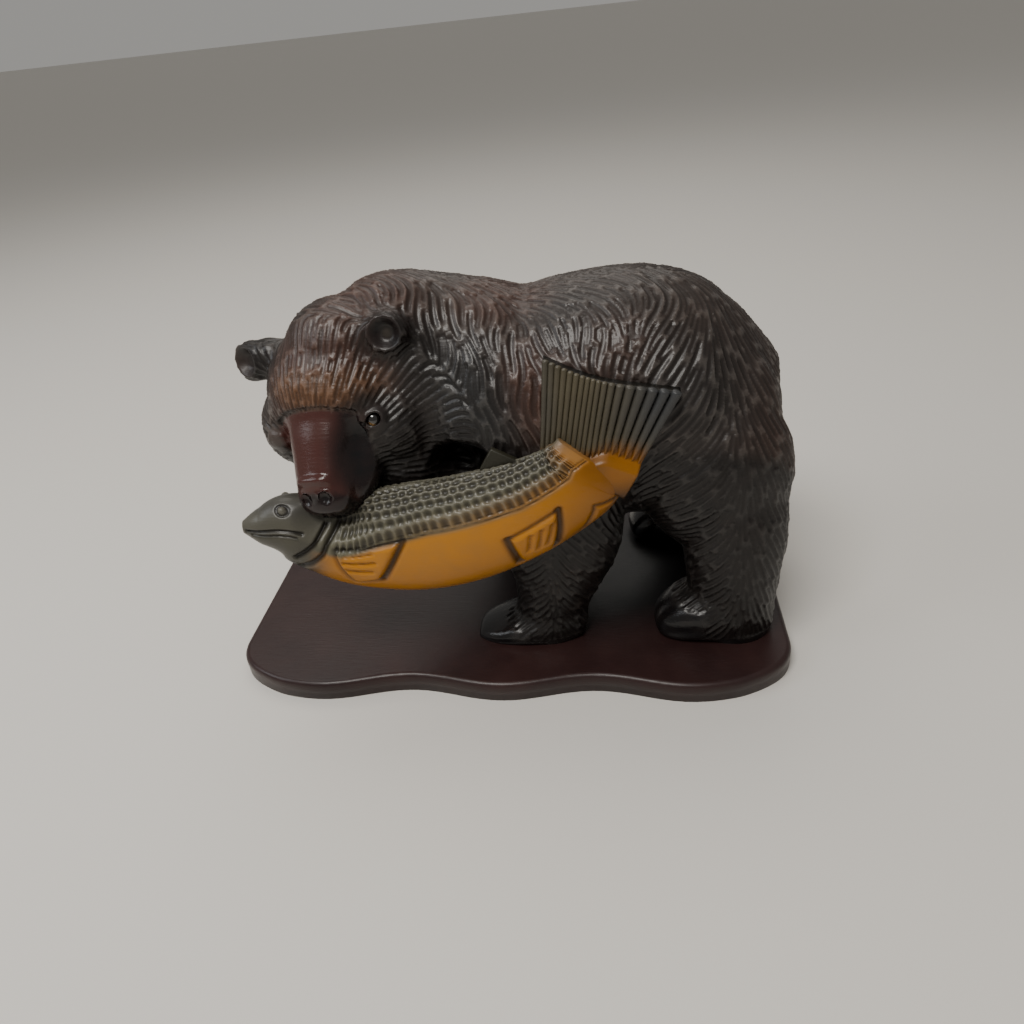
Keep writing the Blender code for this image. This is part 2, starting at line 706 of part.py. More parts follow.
def comb(points, flow, cover, width, length, seed):
    """Stroke paths over the surface, one width apart: rows of place, direction and strength."""
    rng = random.Random(seed)
    tree = kdtree.KDTree(len(points))
    for i, place in enumerate(points):
        tree.insert(place, i)
    tree.balance()
    cells = {}
    cell = width * START_GAP
    step = width * STEP_SHARE

    def key(place):
        return (int(place[0] // cell), int(place[1] // cell), int(place[2] // cell))

    def crowded(place, gap):
        a, b, c = key(place)
        for i in (a - 1, a, a + 1):
            for j in (b - 1, b, b + 1):
                for k in (c - 1, c, c + 1):
                    for other in cells.get((i, j, k), ()):
                        if (place - other).length < gap:
                            return True
        return False

    order = [i for i in range(len(points)) if cover[i] > 0.5]
    rng.shuffle(order)
    strokes = []
    for start in order[::3]:
        place = Vector(points[start])
        if crowded(place, width * START_GAP):
            continue
        wanted = length * rng.uniform(*LENGTH_SPREAD)
        path = [(place, Vector(flow[start]))]
        for way in (1, -1):
            here = Vector(points[start])
            index = start
            travelled = 0.0
            while travelled < wanted / 2:
                here = here + Vector(flow[index]) * (way * step)
                found, index, gap = tree.find(here)
                here = Vector(found) if gap > step else here.lerp(found, 0.5)
                travelled += step
                if cover[index] < 0.5 or crowded(here, width * MEET_GAP):
                    break
                path.append((here, Vector(flow[index])))
            if way == 1:
                path.reverse()
        if len(path) < SHORTEST_STROKE:
            continue
        for i, (here, way) in enumerate(path):
            cells.setdefault(key(here), []).append(here)
            reach = min(i + 1, len(path) - i) / (TAPER[0] * len(path))
            strokes.append((*here, *way, min(1.0, reach) ** TAPER[1]))
    return np.array(strokes)


def gouge(points, normals, cover, strokes, width, depth):
    """Sink the points along the strokes, as a round gouge would."""
    tree = kdtree.KDTree(len(strokes))
    for i, stroke in enumerate(strokes):
        tree.insert(stroke[:3], i)
    tree.balance()
    nearest = np.array([tree.find(place)[1] for place in points])
    found = strokes[nearest]
    offset = points - found[:, :3]
    along = (offset * found[:, 3:6]).sum(1)
    beside = np.sqrt(np.maximum((offset ** 2).sum(1) - along ** 2, 0))
    past_end = np.maximum(np.abs(along) - width * 0.3, 0)
    beside = np.hypot(beside, past_end)
    cut = np.clip(1 - (beside / (width * GOUGE_REACH)) ** 2, 0, 1) * found[:, 6] * cover * depth
    return points - normals * cut[:, None]


def press(mesh, centre, radii, move):
    """Push the skin inside an egg-shaped reach along move, most in its middle."""
    points, normals = surface(mesh)
    places = to_grid(points)
    reach = np.linalg.norm((places - np.array(centre)) / np.array(radii), axis=1)
    share = 1 - ease(reach, 0.25, 1.0)
    set_points(mesh, points + share[:, None] * np.array(move) * SQUARE)


def carve_fur(mesh, width, length, depth):
    """Cut broad flutes where the fur lies."""
    points, normals = surface(mesh)
    flow = fur_flow(points, normals)
    cover = fur_cover(points, normals)
    strokes = comb(points, flow, cover, width, length, FUR_SEED)
    set_points(mesh, gouge(points, normals, cover, strokes, width, depth))


def thin_out(name, mesh, triangles):
    """The same form with about so many triangles, kept where the form turns."""
    work = bpy.data.objects.new(name, mesh)
    bpy.context.scene.collection.objects.link(work)
    faces = work.modifiers.new("triangles", "TRIANGULATE")
    faces.quad_method = "BEAUTY"
    count = len(mesh.polygons) * 2
    thin = work.modifiers.new("thin out", "DECIMATE")
    thin.ratio = triangles / count
    depsgraph = bpy.context.evaluated_depsgraph_get()
    light = bpy.data.meshes.new_from_object(work.evaluated_get(depsgraph), depsgraph=depsgraph)
    bpy.data.objects.remove(work, do_unlink=True)
    bpy.data.meshes.remove(mesh)
    light.name = name
    return light


# The eyes on the head, and the places that are pressed in: where, how wide and how deep
NEAR_EYE = (2.5, 2.1, 0.15)
FAR_EYE = (-2.4, 2.45, 0.15)
HOLLOW_PLACE = (-1.1, -4.7, 9.4)
HOLLOW_REACH = (1.7, 2.2, 1.5)
HOLLOW_DEPTH = 1.7
NOSTRIL_PLACE = (0.55, 5.5, -0.75)
NOSTRIL_REACH = 0.42
NOSTRIL_DEPTH = 0.35
BROW_STEP = 0.1


def hollow_out(mesh):
    """The deep places: behind the chin, in the ears and the nostrils, and the step of the brow."""
    press(mesh, HOLLOW_PLACE, HOLLOW_REACH, (0.0, HOLLOW_DEPTH, 0.0))
    out = head_frame()[1]
    for sign in (1, -1):
        facing = ear_facing(sign)
        cup = Vector(ear_place(sign)) + facing * EAR_RADII[2]
        press(mesh, cup, (EAR_CUP_REACH,) * 3, -facing * EAR_CUP_DEPTH)
        side, forward, up = NOSTRIL_PLACE
        press(mesh, on_head(sign * side, forward, up), (NOSTRIL_REACH,) * 3, -out * NOSTRIL_DEPTH)
    points, normals = surface(mesh)
    bare = muzzle_share(to_grid(points))
    set_points(mesh, points - normals * (bare * BROW_STEP * SQUARE)[:, None])


def eye_centre(mesh, place):
    """The middle of a bead let into the skin nearest to a place on the head."""
    skin = BVHTree.FromPolygons([v.co for v in mesh.vertices], [f.vertices for f in mesh.polygons])
    point, outward, _, _ = skin.find_nearest(on_grid(on_head(*place)))
    return point - outward * EYE_SINK


def bead(name, centre, diameter, segments=12):
    mesh = bpy.data.meshes.new(name)
    form = bmesh.new()
    bmesh.ops.create_uvsphere(form, u_segments=segments, v_segments=segments // 2, radius=diameter / 2)
    form.transform(Matrix.Translation(centre))
    form.to_mesh(mesh)
    form.free()
    return mesh


def finish(name, base, rough, metal=0.0):
    """One finish: a Principled BSDF with the piece's colour."""
    look = bpy.data.materials.new(name)
    look.use_nodes = True
    shader = look.node_tree.nodes["Principled BSDF"]
    shader.inputs["Base Color"].default_value = (*base, 1)
    shader.inputs["Roughness"].default_value = rough
    shader.inputs["Metallic"].default_value = metal
    return look


def place_in(group, name, mesh, look=None, cutter=False):
    thing = bpy.data.objects.new(name, mesh)
    group.objects.link(thing)
    if look:
        mesh.materials.clear()
        mesh.materials.append(look)
    if cutter:
        thing.hide_render = True
        thing.display_type = "WIRE"
    return thing


def bool_with(thing, other, operation):
    cut = thing.modifiers.new(operation.lower() + " " + other.name, "BOOLEAN")
    cut.operation = operation
    cut.object = other
    cut.solver = "EXACT"


def main():
    clear_scene()
    parts = new_collection("carved wooden bear")
    helpers = new_collection("forms and cutters")
    lacquer = finish("lacquered wood", (0.10, 0.055, 0.04), 0.3)
    glass = finish("eye glass", (0.02, 0.012, 0.008), 0.05)

    bear = bear_form()
    hollow_out(bear)
    carve_fur(bear, FLUTE_WIDTH, FLUTE_LENGTH, FLUTE_DEPTH)
    bear = thin_out("bear", bear, BEAR_TRIANGLES)
    eyes = {"near_eye": eye_centre(bear, NEAR_EYE), "far_eye": eye_centre(bear, FAR_EYE)}
    salmon = salmon_form()
    press(salmon, BITE_PLACE, BITE_REACH, (0.0, BITE_DEPTH, 0.0))
    carve_salmon(salmon)
    salmon = thin_out("salmon", salmon, SALMON_TRIANGLES)

    block = place_in(parts, "carved_bear", plinth_form(), lacquer)
    forms = (
        ("bear", bear),
        ("salmon", salmon),
        ("salmon tail", fan_form()),
        ("salmon back fin", back_fin_form()),
    )
    for name, mesh in forms:
        form = place_in(helpers, name, mesh, cutter=True)
        bool_with(block, form, "UNION")
    for name, centre in eyes.items():
        socket = bead(name + " socket", centre, EYE_DIAMETER + 2 * EYE_CLEARANCE)
        bool_with(block, place_in(helpers, name + " socket", socket, cutter=True), "DIFFERENCE")
        eye = bead(name, centre, EYE_DIAMETER)
        eye.shade_smooth()
        place_in(parts, name, eye, glass)


main()
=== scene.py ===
# %% Load the frame
import collections
import math
import random

import bmesh
import bpy
import numpy as np
from mathutils import Matrix, Vector, kdtree


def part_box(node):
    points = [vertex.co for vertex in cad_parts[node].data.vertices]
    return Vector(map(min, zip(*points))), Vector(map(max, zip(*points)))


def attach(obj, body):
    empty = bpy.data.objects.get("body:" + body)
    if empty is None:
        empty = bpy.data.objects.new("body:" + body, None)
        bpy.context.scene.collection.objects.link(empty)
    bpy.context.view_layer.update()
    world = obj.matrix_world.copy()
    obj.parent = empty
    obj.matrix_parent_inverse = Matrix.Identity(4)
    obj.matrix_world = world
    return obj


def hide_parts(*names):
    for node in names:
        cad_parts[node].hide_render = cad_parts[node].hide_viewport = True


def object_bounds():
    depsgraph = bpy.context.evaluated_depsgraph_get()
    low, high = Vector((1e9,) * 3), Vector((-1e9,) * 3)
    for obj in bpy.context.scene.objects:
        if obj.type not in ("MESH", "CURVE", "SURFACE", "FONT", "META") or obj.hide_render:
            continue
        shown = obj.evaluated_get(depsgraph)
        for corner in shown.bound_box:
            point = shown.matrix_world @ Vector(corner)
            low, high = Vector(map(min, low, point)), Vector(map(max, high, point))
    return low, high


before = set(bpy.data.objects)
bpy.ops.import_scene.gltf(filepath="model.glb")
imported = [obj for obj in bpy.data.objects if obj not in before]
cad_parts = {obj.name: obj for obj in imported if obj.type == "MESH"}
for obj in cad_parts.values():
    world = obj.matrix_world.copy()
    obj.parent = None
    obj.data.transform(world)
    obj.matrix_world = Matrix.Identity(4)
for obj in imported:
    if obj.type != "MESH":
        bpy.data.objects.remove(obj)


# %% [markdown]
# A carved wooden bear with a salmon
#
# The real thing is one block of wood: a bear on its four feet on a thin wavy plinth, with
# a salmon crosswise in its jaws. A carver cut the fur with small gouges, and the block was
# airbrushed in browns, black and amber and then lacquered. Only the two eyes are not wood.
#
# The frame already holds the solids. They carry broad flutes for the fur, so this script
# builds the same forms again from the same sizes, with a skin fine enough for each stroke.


CAD_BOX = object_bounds()
print("solids from", tuple(CAD_BOX[0]), "to", tuple(CAD_BOX[1]))


# %% [markdown]
# The sizes
#
# The block is laid out on a carver's grid. Each square is 10 mm, and the grid's floor lies
# on the plinth's top. The head has a frame of its own, turned, tilted and bowed, so that its
# parts are placed by side, out along the muzzle, and up.


# %% Sizes of the block, the grid and the head
PLINTH_LENGTH = 0.269
PLINTH_DEPTH = 0.154
PLINTH_THICKNESS = 0.010
PLINTH_CORNER = 0.030
PLINTH_WAVE = 0.0032
PLINTH_WAVE_LENGTH = 0.087
PLINTH_ROUNDING = 0.0025
BEAR_HEIGHT = 0.170
GRID_SQUARES = 17
SQUARE = BEAR_HEIGHT / GRID_SQUARES
SET_BACK = 0.005
HEAD_CENTRE = (-6.7, -2.6, 12.85)
HEAD_YAW = math.radians(13)
HEAD_ROLL = math.radians(12)
HEAD_BOW = math.radians(38)
BODY_SIDES = 56
BALL_SEGMENTS = 32
SKIN_VOXEL = 0.00066
# Rounds of softening, more of them on a finer skin, so that both come out alike
SOFTENING = round(22 * (0.0016 / SKIN_VOXEL) ** 2)
print("one square is", SQUARE * 1000, "mm")


# %% Places on the grid and on the head
def on_grid(point):
    """A place on the carver's grid, in metres, with the grid's floor on the plinth."""
    x, y, z = point
    return Vector((x * SQUARE, SET_BACK + y * SQUARE, PLINTH_THICKNESS + z * SQUARE))


def to_grid(points):
    """Places in metres, as rows of an array, given on the carver's grid."""
    return (points - np.array((0, SET_BACK, PLINTH_THICKNESS))) / SQUARE


def head_frame():
    """The head's own axes: side towards the near ear, out along the muzzle, and up."""
    side = Vector((math.cos(HEAD_YAW) * math.cos(HEAD_ROLL),
                   -math.sin(HEAD_YAW) * math.cos(HEAD_ROLL),
                   math.sin(HEAD_ROLL)))
    level = Vector((0, -1, 0))
    level = (level - level.dot(side) * side).normalized()
    upright = level.cross(side)
    out = level * math.cos(HEAD_BOW) - upright * math.sin(HEAD_BOW)
    up = upright * math.cos(HEAD_BOW) + level * math.sin(HEAD_BOW)
    return side, out, up


def on_head(side, out, up):
    """A place on the head, in squares from its middle, given back on the carver's grid."""
    axes = head_frame()
    place = Vector(HEAD_CENTRE) + axes[0] * side + axes[1] * out + axes[2] * up
    return tuple(place)


def head_places(places):
    """Grid places given as side, out and up on the head."""
    axes = np.array([tuple(axis) for axis in head_frame()])
    return (places - np.array(HEAD_CENTRE)) @ axes.T


# %% [markdown]
# Forms before skin
#
# A carver saws the block to round and oval masses first. Each mass here is either a loft,
# which is a run of ovals along a curve, or an egg shape. They pass through each other, and
# one voxel remesh melts them into a single closed skin, which is then softened.


# %% Lofts and egg shapes
def finished(name, form, recalculate=True):
    """A mesh of the form, with its faces turned outward, and the form set free."""
    if recalculate:
        bmesh.ops.recalc_face_normals(form, faces=form.faces)
    mesh = bpy.data.meshes.new(name)
    form.to_mesh(mesh)
    form.free()
    return mesh


def placed(name, data):
    """An object of this data in the scene."""
    thing = bpy.data.objects.new(name, data)
    bpy.context.scene.collection.objects.link(thing)
    return thing


def evaluated(work):
    """The mesh of an object after its modifiers; the object is then removed."""
    depsgraph = bpy.context.evaluated_depsgraph_get()
    mesh = bpy.data.meshes.new_from_object(work.evaluated_get(depsgraph), depsgraph=depsgraph)
    bpy.data.objects.remove(work, do_unlink=True)
    return mesh


def smooth_run(rows, steps):
    """A smooth curve through rows of numbers, with steps points to each stretch."""
    rows = np.array(rows, float)
    padded = np.vstack([2 * rows[0] - rows[1], rows, 2 * rows[-1] - rows[-2]])
    run = []
    for i in range(len(rows) - 1):
        p0, p1, p2, p3 = padded[i:i + 4]
        for t in np.arange(steps) / steps:
            run.append(0.5 * (2 * p1 + (p2 - p0) * t
                              + (2 * p0 - 5 * p1 + 4 * p2 - p3) * t ** 2
                              + (3 * p1 - p0 - 3 * p2 + p3) * t ** 3))
    run.append(rows[-1])
    return np.array(run)


def loft(name, stations, top=(0, 0, 1), sides=BODY_SIDES, steps=5, square=2.0):
    """A closed form through stations of x, y, z, half width and half height on the grid."""
    run = smooth_run(stations, steps)
    form = bmesh.new()
    rings = []
    for i, row in enumerate(run):
        ahead = run[min(i + 1, len(run) - 1), :3] - run[max(i - 1, 0), :3]
        ahead = Vector(ahead).normalized()
        width_axis = Vector(top).cross(ahead).normalized()
        height_axis = ahead.cross(width_axis)
        ring = []
        for k in range(sides):
            turn = 2 * math.pi * k / sides
            across = math.copysign(abs(math.cos(turn)) ** (2 / square), math.cos(turn))
            along = math.copysign(abs(math.sin(turn)) ** (2 / square), math.sin(turn))
            place = Vector(row[:3]) + width_axis * (across * row[3])
            ring.append(form.verts.new(on_grid(place + height_axis * (along * row[4]))))
        rings.append(ring)
    for near, far in zip(rings, rings[1:]):
        for k in range(sides):
            form.faces.new((near[k], near[(k + 1) % sides], far[(k + 1) % sides], far[k]))
    form.faces.new(rings[0][::-1])
    form.faces.new(rings[-1])
    return finished(name, form)


def ball(name, centre, radii, turn=None):
    """An egg shape on the grid; turn is a matrix for its own axes."""
    form = bmesh.new()
    bmesh.ops.create_uvsphere(form, u_segments=BALL_SEGMENTS, v_segments=BALL_SEGMENTS // 2,
                              radius=1)
    size = Matrix.Diagonal(Vector(radii) * SQUARE).to_4x4()
    axes = turn.to_4x4() if turn else Matrix.Identity(4)
    form.transform(Matrix.Translation(on_grid(centre)) @ axes @ size)
    return finished(name, form, recalculate=False)


def head_turn():
    side, out, up = head_frame()
    return Matrix((side, out, up)).transposed()


def head_ball(name, place, radii):
    return ball(name, on_head(*place), radii, head_turn())


def head_loft(name, stations, square=2.0):
    """A loft whose stations are side, out, up, half width and half height on the head."""
    rows = [(*on_head(*row[:3]), row[3], row[4]) for row in stations]
    return loft(name, rows, top=head_frame()[2], square=square)


# %% Melting forms into one skin
def join(name, meshes):
    """One mesh of many closed forms, which may pass through each other."""
    form = bmesh.new()
    for mesh in meshes:
        form.from_mesh(mesh)
        bpy.data.meshes.remove(mesh)
    return finished(name, form, recalculate=False)


def fuse(name, mesh):
    """Melt the forms of one mesh into one skin, and soften where they meet."""
    work = placed(name, mesh)
    remesh = work.modifiers.new("one skin", "REMESH")
    remesh.mode = "VOXEL"
    remesh.voxel_size = SKIN_VOXEL
    remesh.use_smooth_shade = True
    soften = work.modifiers.new("soften", "SMOOTH")
    soften.factor = 0.5
    soften.iterations = SOFTENING
    fused = evaluated(work)
    bpy.data.meshes.remove(mesh)
    fused.name = name
    return fused


def surface(mesh):
    """The mesh's points and their outward directions, as rows of two arrays."""
    points = np.empty(len(mesh.vertices) * 3)
    mesh.vertices.foreach_get("co", points)
    normals = np.empty(len(mesh.vertices) * 3)
    mesh.vertices.foreach_get("normal", normals)
    return points.reshape(-1, 3), normals.reshape(-1, 3)


def set_points(mesh, points):
    mesh.vertices.foreach_set("co", points.reshape(-1))
    mesh.update()


def ease(value, low, high):
    """0 below low, 1 above high, and an S between them."""
    share = np.clip((value - low) / (high - low), 0, 1)
    return share * share * (3 - 2 * share)


def press(mesh, centre, radii, move):
    """Push the skin inside an egg-shaped reach along move, most in its middle."""
    points, normals = surface(mesh)
    places = to_grid(points)
    reach = np.linalg.norm((places - np.array(centre)) / np.array(radii), axis=1)
    share = 1 - ease(reach, 0.25, 1.0)
    set_points(mesh, points + share[:, None] * np.array(move) * SQUARE)


# %% [markdown]
# The bear's masses
#
# The trunk runs from the rump to the neck, which swings round to the near side. The legs are
# stout and the paws flat. The skull, the cheeks and the square muzzle make the head.


# %% Trunk and legs
def trunk():
    """Rump, barrel, shoulders and the neck that swings round to the near side."""
    return loft("trunk", [
        (12.8, -0.3, 9.0, 1.0, 1.4),
        (12.4, -0.3, 9.0, 2.4, 2.6),
        (11.5, -0.2, 9.2, 3.6, 3.6),
        (10.2, -0.1, 9.5, 4.4, 4.6),
        (8.7, 0.0, 9.9, 4.9, 5.3),
        (6.7, 0.0, 10.5, 5.1, 5.8),
        (4.3, 0.0, 10.6, 5.1, 5.6),
        (1.5, 0.0, 10.4, 5.0, 5.3),
        (-1.2, -0.2, 11.0, 4.6, 5.4),
        (-3.2, -0.6, 11.7, 3.8, 5.2),
        (-4.9, -1.4, 12.3, 3.3, 4.9),
        (-6.3, -2.4, 12.5, 2.6, 3.6),
    ])


def front_leg(name, x, y, outward):
    """A front leg from the shoulder down to its paw; outward is -1 on the near side."""
    return [
        loft(name, [
            (x - 0.6, y * 0.72, 11.5, 1.6, 2.4),
            (x - 0.4, y * 0.9, 9.0, 2.0, 3.1),
            (x + 0.1, y, 5.5, 2.0, 3.1),
            (x - 0.1, y + 0.1 * outward, 3.0, 1.8, 2.2),
            (x - 0.5, y + 0.2 * outward, 1.2, 1.6, 1.7),
            (x - 0.6, y + 0.2 * outward, -0.3, 1.6, 1.7),
        ], top=(1, 0, 0)),
        loft(name + " paw", [
            (x + 1.2, y + 0.2 * outward, 0.5, 1.0, 0.9),
            (x + 0.2, y + 0.3 * outward, 0.7, 1.5, 1.1),
            (x - 1.4, y + 0.4 * outward, 0.5, 1.65, 0.9),
            (x - 3.0, y + 0.35 * outward, 0.15, 1.5, 0.6),
            (x - 4.1, y + 0.3 * outward, -0.1, 1.0, 0.35),
        ], square=2.3),
    ]


def hind_leg(name, x, y, outward):
    """A hind leg: the round thigh, the shank and the long flat foot."""
    return [
        ball(name + " thigh", (x - 1.1, y * 0.8, 8.0), (3.5, 2.3, 4.0)),
        loft(name, [
            (x - 0.9, y * 0.6, 9.5, 2.0, 2.6),
            (x - 0.2, y * 0.88, 6.0, 2.0, 2.5),
            (x - 0.1, y + 0.1 * outward, 3.2, 1.8, 2.2),
            (x + 0.0, y + 0.2 * outward, 1.2, 1.7, 1.9),
            (x + 0.0, y + 0.2 * outward, -0.3, 1.6, 1.8),
        ], top=(1, 0, 0)),
        loft(name + " foot", [
            (x + 1.6, y + 0.1 * outward, 0.4, 1.0, 0.8),
            (x + 0.4, y + 0.25 * outward, 0.9, 1.6, 1.5),
            (x - 1.3, y + 0.3 * outward, 1.1, 1.75, 1.5),
            (x - 2.7, y + 0.3 * outward, 0.6, 1.5, 1.1),
            (x - 3.5, y + 0.25 * outward, 0.2, 1.0, 0.6),
        ], square=2.3),
    ]


# %% Head and ears
def skull():
    return [
        head_ball("skull", (0, 0.0, -0.4), (3.3, 3.3, 2.9)),
        head_ball("forehead", (0, 0.9, 0.2), (2.3, 2.0, 1.9)),
        head_ball("crown", (0.6, -1.3, 0.8), (2.4, 2.2, 2.0)),
        head_ball("near cheek", (2.3, 1.1, -1.7), (2.0, 2.3, 2.2)),
        head_ball("far cheek", (-2.5, 1.1, -1.1), (1.6, 2.0, 2.1)),
        ball("throat", (-3.9, -2.6, 9.0), (2.3, 2.4, 2.4)),
    ]


def muzzle():
    return [
        head_loft("muzzle", [
            (0, 1.2, -0.2, 2.1, 1.9),
            (0, 2.4, 0.0, 1.75, 1.6),
            (0, 3.6, -0.15, 1.5, 1.35),
            (0, 4.5, -0.35, 1.42, 1.22),
            (0, 4.85, -0.65, 1.36, 1.15),
            (0, 5.1, -1.05, 1.25, 1.0),
            (0, 5.3, -1.35, 1.05, 0.75),
            (0, 5.4, -1.5, 0.7, 0.45),
        ], square=2.6),
        head_loft("lips", [
            (0.3, 1.5, -1.2, 2.2, 1.3),
            (0.3, 3.0, -1.2, 2.0, 1.25),
            (0.15, 4.3, -1.25, 1.75, 1.1),
            (0.0, 5.1, -1.3, 1.3, 0.85),
            (0.0, 5.5, -1.35, 0.8, 0.5),
        ]),
        head_ball("nose tip", (0, 4.5, 0.25), (1.2, 0.6, 0.6)),
        head_ball("nose pad", (-0.1, 4.9, -1.3), (1.35, 0.95, 0.95)),
        head_loft("lower jaw", [
            (0, 1.5, -2.0, 1.6, 0.9),
            (0, 3.2, -2.1, 1.4, 0.8),
            (0, 4.9, -2.2, 1.0, 0.6),
        ]),
    ]


EAR_PLACE = (3.6, -1.05, 1.35)
EAR_RADII = (1.05, 1.0, 0.75)
EAR_ROOT = (2.8, -1.2, 1.0)
EAR_ROOT_RADII = (1.2, 0.9, 1.1)
EAR_CUP_REACH = 0.88
EAR_CUP_DEPTH = 0.62


def ear_place(sign):
    side, out, up = EAR_PLACE
    return on_head(sign * side, out, up)


def ear_facing(sign):
    """The way the ear's hollow looks: forward, up and a little to its own side."""
    side, out, up = head_frame()
    return (out * 0.55 + up * 0.8 + side * 0.25 * sign).normalized()


def ear(sign):
    """A round ear and its root on the head."""
    facing = ear_facing(sign)
    side = head_frame()[0]
    across = (side - side.dot(facing) * facing).normalized()
    turn = Matrix((across, facing.cross(across), facing)).transposed()
    side, out, up = EAR_ROOT
    return [
        ball("ear", ear_place(sign), EAR_RADII, turn),
        head_ball("ear root", (sign * side, out, up), EAR_ROOT_RADII),
    ]


# %% The bear's skin
FILLS = [
    ("tail seat", (4.5, -4.5, 9.6), (2.6, 1.15, 1.6)),
    ("fan seat", (5.0, -3.7, 11.4), (3.6, 1.15, 2.9)),
    ("rump", (10.8, -1.9, 10.2), (1.9, 2.2, 3.0)),
]


def bear_form():
    near, far = -1, 1
    body = [trunk()] + [ball(*fill) for fill in FILLS]
    body += front_leg("near front leg", 2.7, -3.7, near)
    body += front_leg("far front leg", 0.6, 3.6, far)
    body += hind_leg("near hind leg", 10.9, -3.7, near)
    body += hind_leg("far hind leg", 9.9, 3.7, far)
    body += skull() + muzzle() + ear(1) + ear(-1)
    return fuse("bear", join("bear", body))


bear_skin = bear_form()
print("bear's skin:", len(bear_skin.vertices), "points")


# %% [markdown]
# The deep places
#
# Behind the chin the carver cut in deeply, so that the head stands free of the mane. The
# ears are cupped, and the nostrils are two small pits under the low ridge of the nose. The
# bare muzzle lies a step lower than the furred brow. All are pressed into the finished skin.


# %% Hollow, ear cups, nostrils, nose ridge and brow step
NEAR_EYE = (2.5, 2.1, 0.15)
FAR_EYE = (-2.4, 2.45, 0.15)
HOLLOW_PLACE = (-1.1, -4.7, 9.4)
HOLLOW_REACH = (1.7, 2.2, 1.5)
HOLLOW_DEPTH = 1.7
NOSTRIL_PLACE = (0.45, 5.38, 0.1)
NOSTRIL_REACH = 0.36
NOSTRIL_DEPTH = 0.45
NOSE_RIDGE_OUT = 4.85
NOSE_RIDGE_WIDTH = 0.3
NOSE_RIDGE_RISE = 0.16
BROW_STEP = 0.2
BROW_EDGE = (2.0, 2.12)
MUZZLE_EDGE = (2.0, 2.2)


def muzzle_share(places):
    """1 on the bare muzzle and 0 on the furred head behind it."""
    side, out, up = head_places(places).T
    top = ease(out, *BROW_EDGE) * ease(-np.abs(side), -MUZZLE_EDGE[1], -MUZZLE_EDGE[0])
    cheek = ease(-up, 1.6, 1.9) * ease(side, 1.2, 1.6) * ease(-out, -4.4, -4.0)
    return top * (1 - cheek)


def hollow_out(mesh):
    """Press the hollow, cups, nostrils and brow step in, and the nose's ridge out."""
    press(mesh, HOLLOW_PLACE, HOLLOW_REACH, (0.0, HOLLOW_DEPTH, 0.0))
    for sign in (1, -1):
        facing = ear_facing(sign)
        cup = Vector(ear_place(sign)) + facing * EAR_RADII[2]
        press(mesh, cup, (EAR_CUP_REACH,) * 3, -facing * EAR_CUP_DEPTH)
        side, forward, up = NOSTRIL_PLACE
        press(mesh, on_head(sign * side, forward, up), (NOSTRIL_REACH,) * 3,
              (0.0, NOSTRIL_DEPTH, 0.0))
    points, normals = surface(mesh)
    places = to_grid(points)
    bare = muzzle_share(places)
    side, out, up = head_places(places).T
    ridge = 1 - ease(np.abs(out - NOSE_RIDGE_OUT), 0, NOSE_RIDGE_WIDTH)
    ridge *= (1 - ease(np.abs(side), 0.5, 1.2)) * ease(up, 0.0, 0.3)
    lift = NOSE_RIDGE_RISE * ridge - BROW_STEP * bare * ease(up, -0.4, 0.4)
    set_points(mesh, points + normals * (lift * SQUARE)[:, None])


hollow_out(bear_skin)


# %% [markdown]
# The eyes' sockets
#
# Each eye is a glass bead let into a drilled hole. The wood round it is cut to a rim, higher
# above the eye as a lid. The beads keep the places of the solids, to which the skin is cut.


# %% Cut the sockets
SOCKET_EDGE = (0.24, 0.40)
SOCKET_DEPTH = {"near_eye": 0.22, "far_eye": -0.12}
LID_REACH = (0.36, 0.66)
LID_LIFT = 0.10
LID_NARROWING = 1.35


def socket(mesh, centre, depth):
    """Sink the skin under a bead and raise a lid round it, wider than it is high."""
    points, normals = surface(mesh)
    away = points - np.array(centre)
    height = (away * normals).sum(1)
    flat = (away - height[:, None] * normals) / SQUARE
    beside = np.sqrt((flat ** 2).sum(1) + (LID_NARROWING ** 2 - 1) * flat[:, 2] ** 2)
    close = np.linalg.norm(away, axis=1) < SQUARE
    sink = depth * (1 - ease(beside, *SOCKET_EDGE))
    inner, outer = LID_REACH
    ring = ease(beside, inner - 0.08, inner + 0.02) * (1 - ease(beside, inner + 0.06, outer))
    above = ease(away[:, 2] / SQUARE, -0.5, 0.1)
    lift = LID_LIFT * ring * (0.4 + 0.9 * above)
    set_points(mesh, points + normals * (close * (lift - sink) * SQUARE)[:, None])


eye_boxes = {name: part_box(name) for name in ("near_eye", "far_eye")}
for name, (low, high) in eye_boxes.items():
    socket(bear_skin, (low + high) / 2, SOCKET_DEPTH[name])


# %% [markdown]
# How the hair lies
#
# The strokes of real carved fur follow the growth of the hair. They fan off the nose over
# the brow, sweep round the ears and down the neck, and run down the flanks in waves. They
# meet in a parting on the hind leg and another on the front leg. The flow is a direction
# at every point of the skin, blended from these few rules.


# %% The flow of the fur
NOSE = (0, 4.7, 0.2)
HIND_PARTING = ((1.0, 11.0), (6.2, 10.8), (9.2, 10.6), (12.0, 10.2), (15.0, 9.7))
FLANK_LEAN = ((-8.0, 0.3), (-4.0, 0.25), (-1.0, 0.0), (1.5, 0.1), (2.6, 0.5), (4.5, 0.3),
              (6.5, 0.0))
FRONT_PARTING = 2.5
WAVE_SWING = 0.26
WAVE_TURNS = ((1.9, 0.7, 0.4), (0.8, 2.3, 1.7))


def waves(places):
    """A slow sideways swing, so that no two strands run quite alike."""
    x, y, z = places.T
    swing = np.zeros(len(places))
    for across, down, start in WAVE_TURNS:
        swing += np.sin(across * x + down * z + start + 0.6 * y)
    return WAVE_SWING * swing


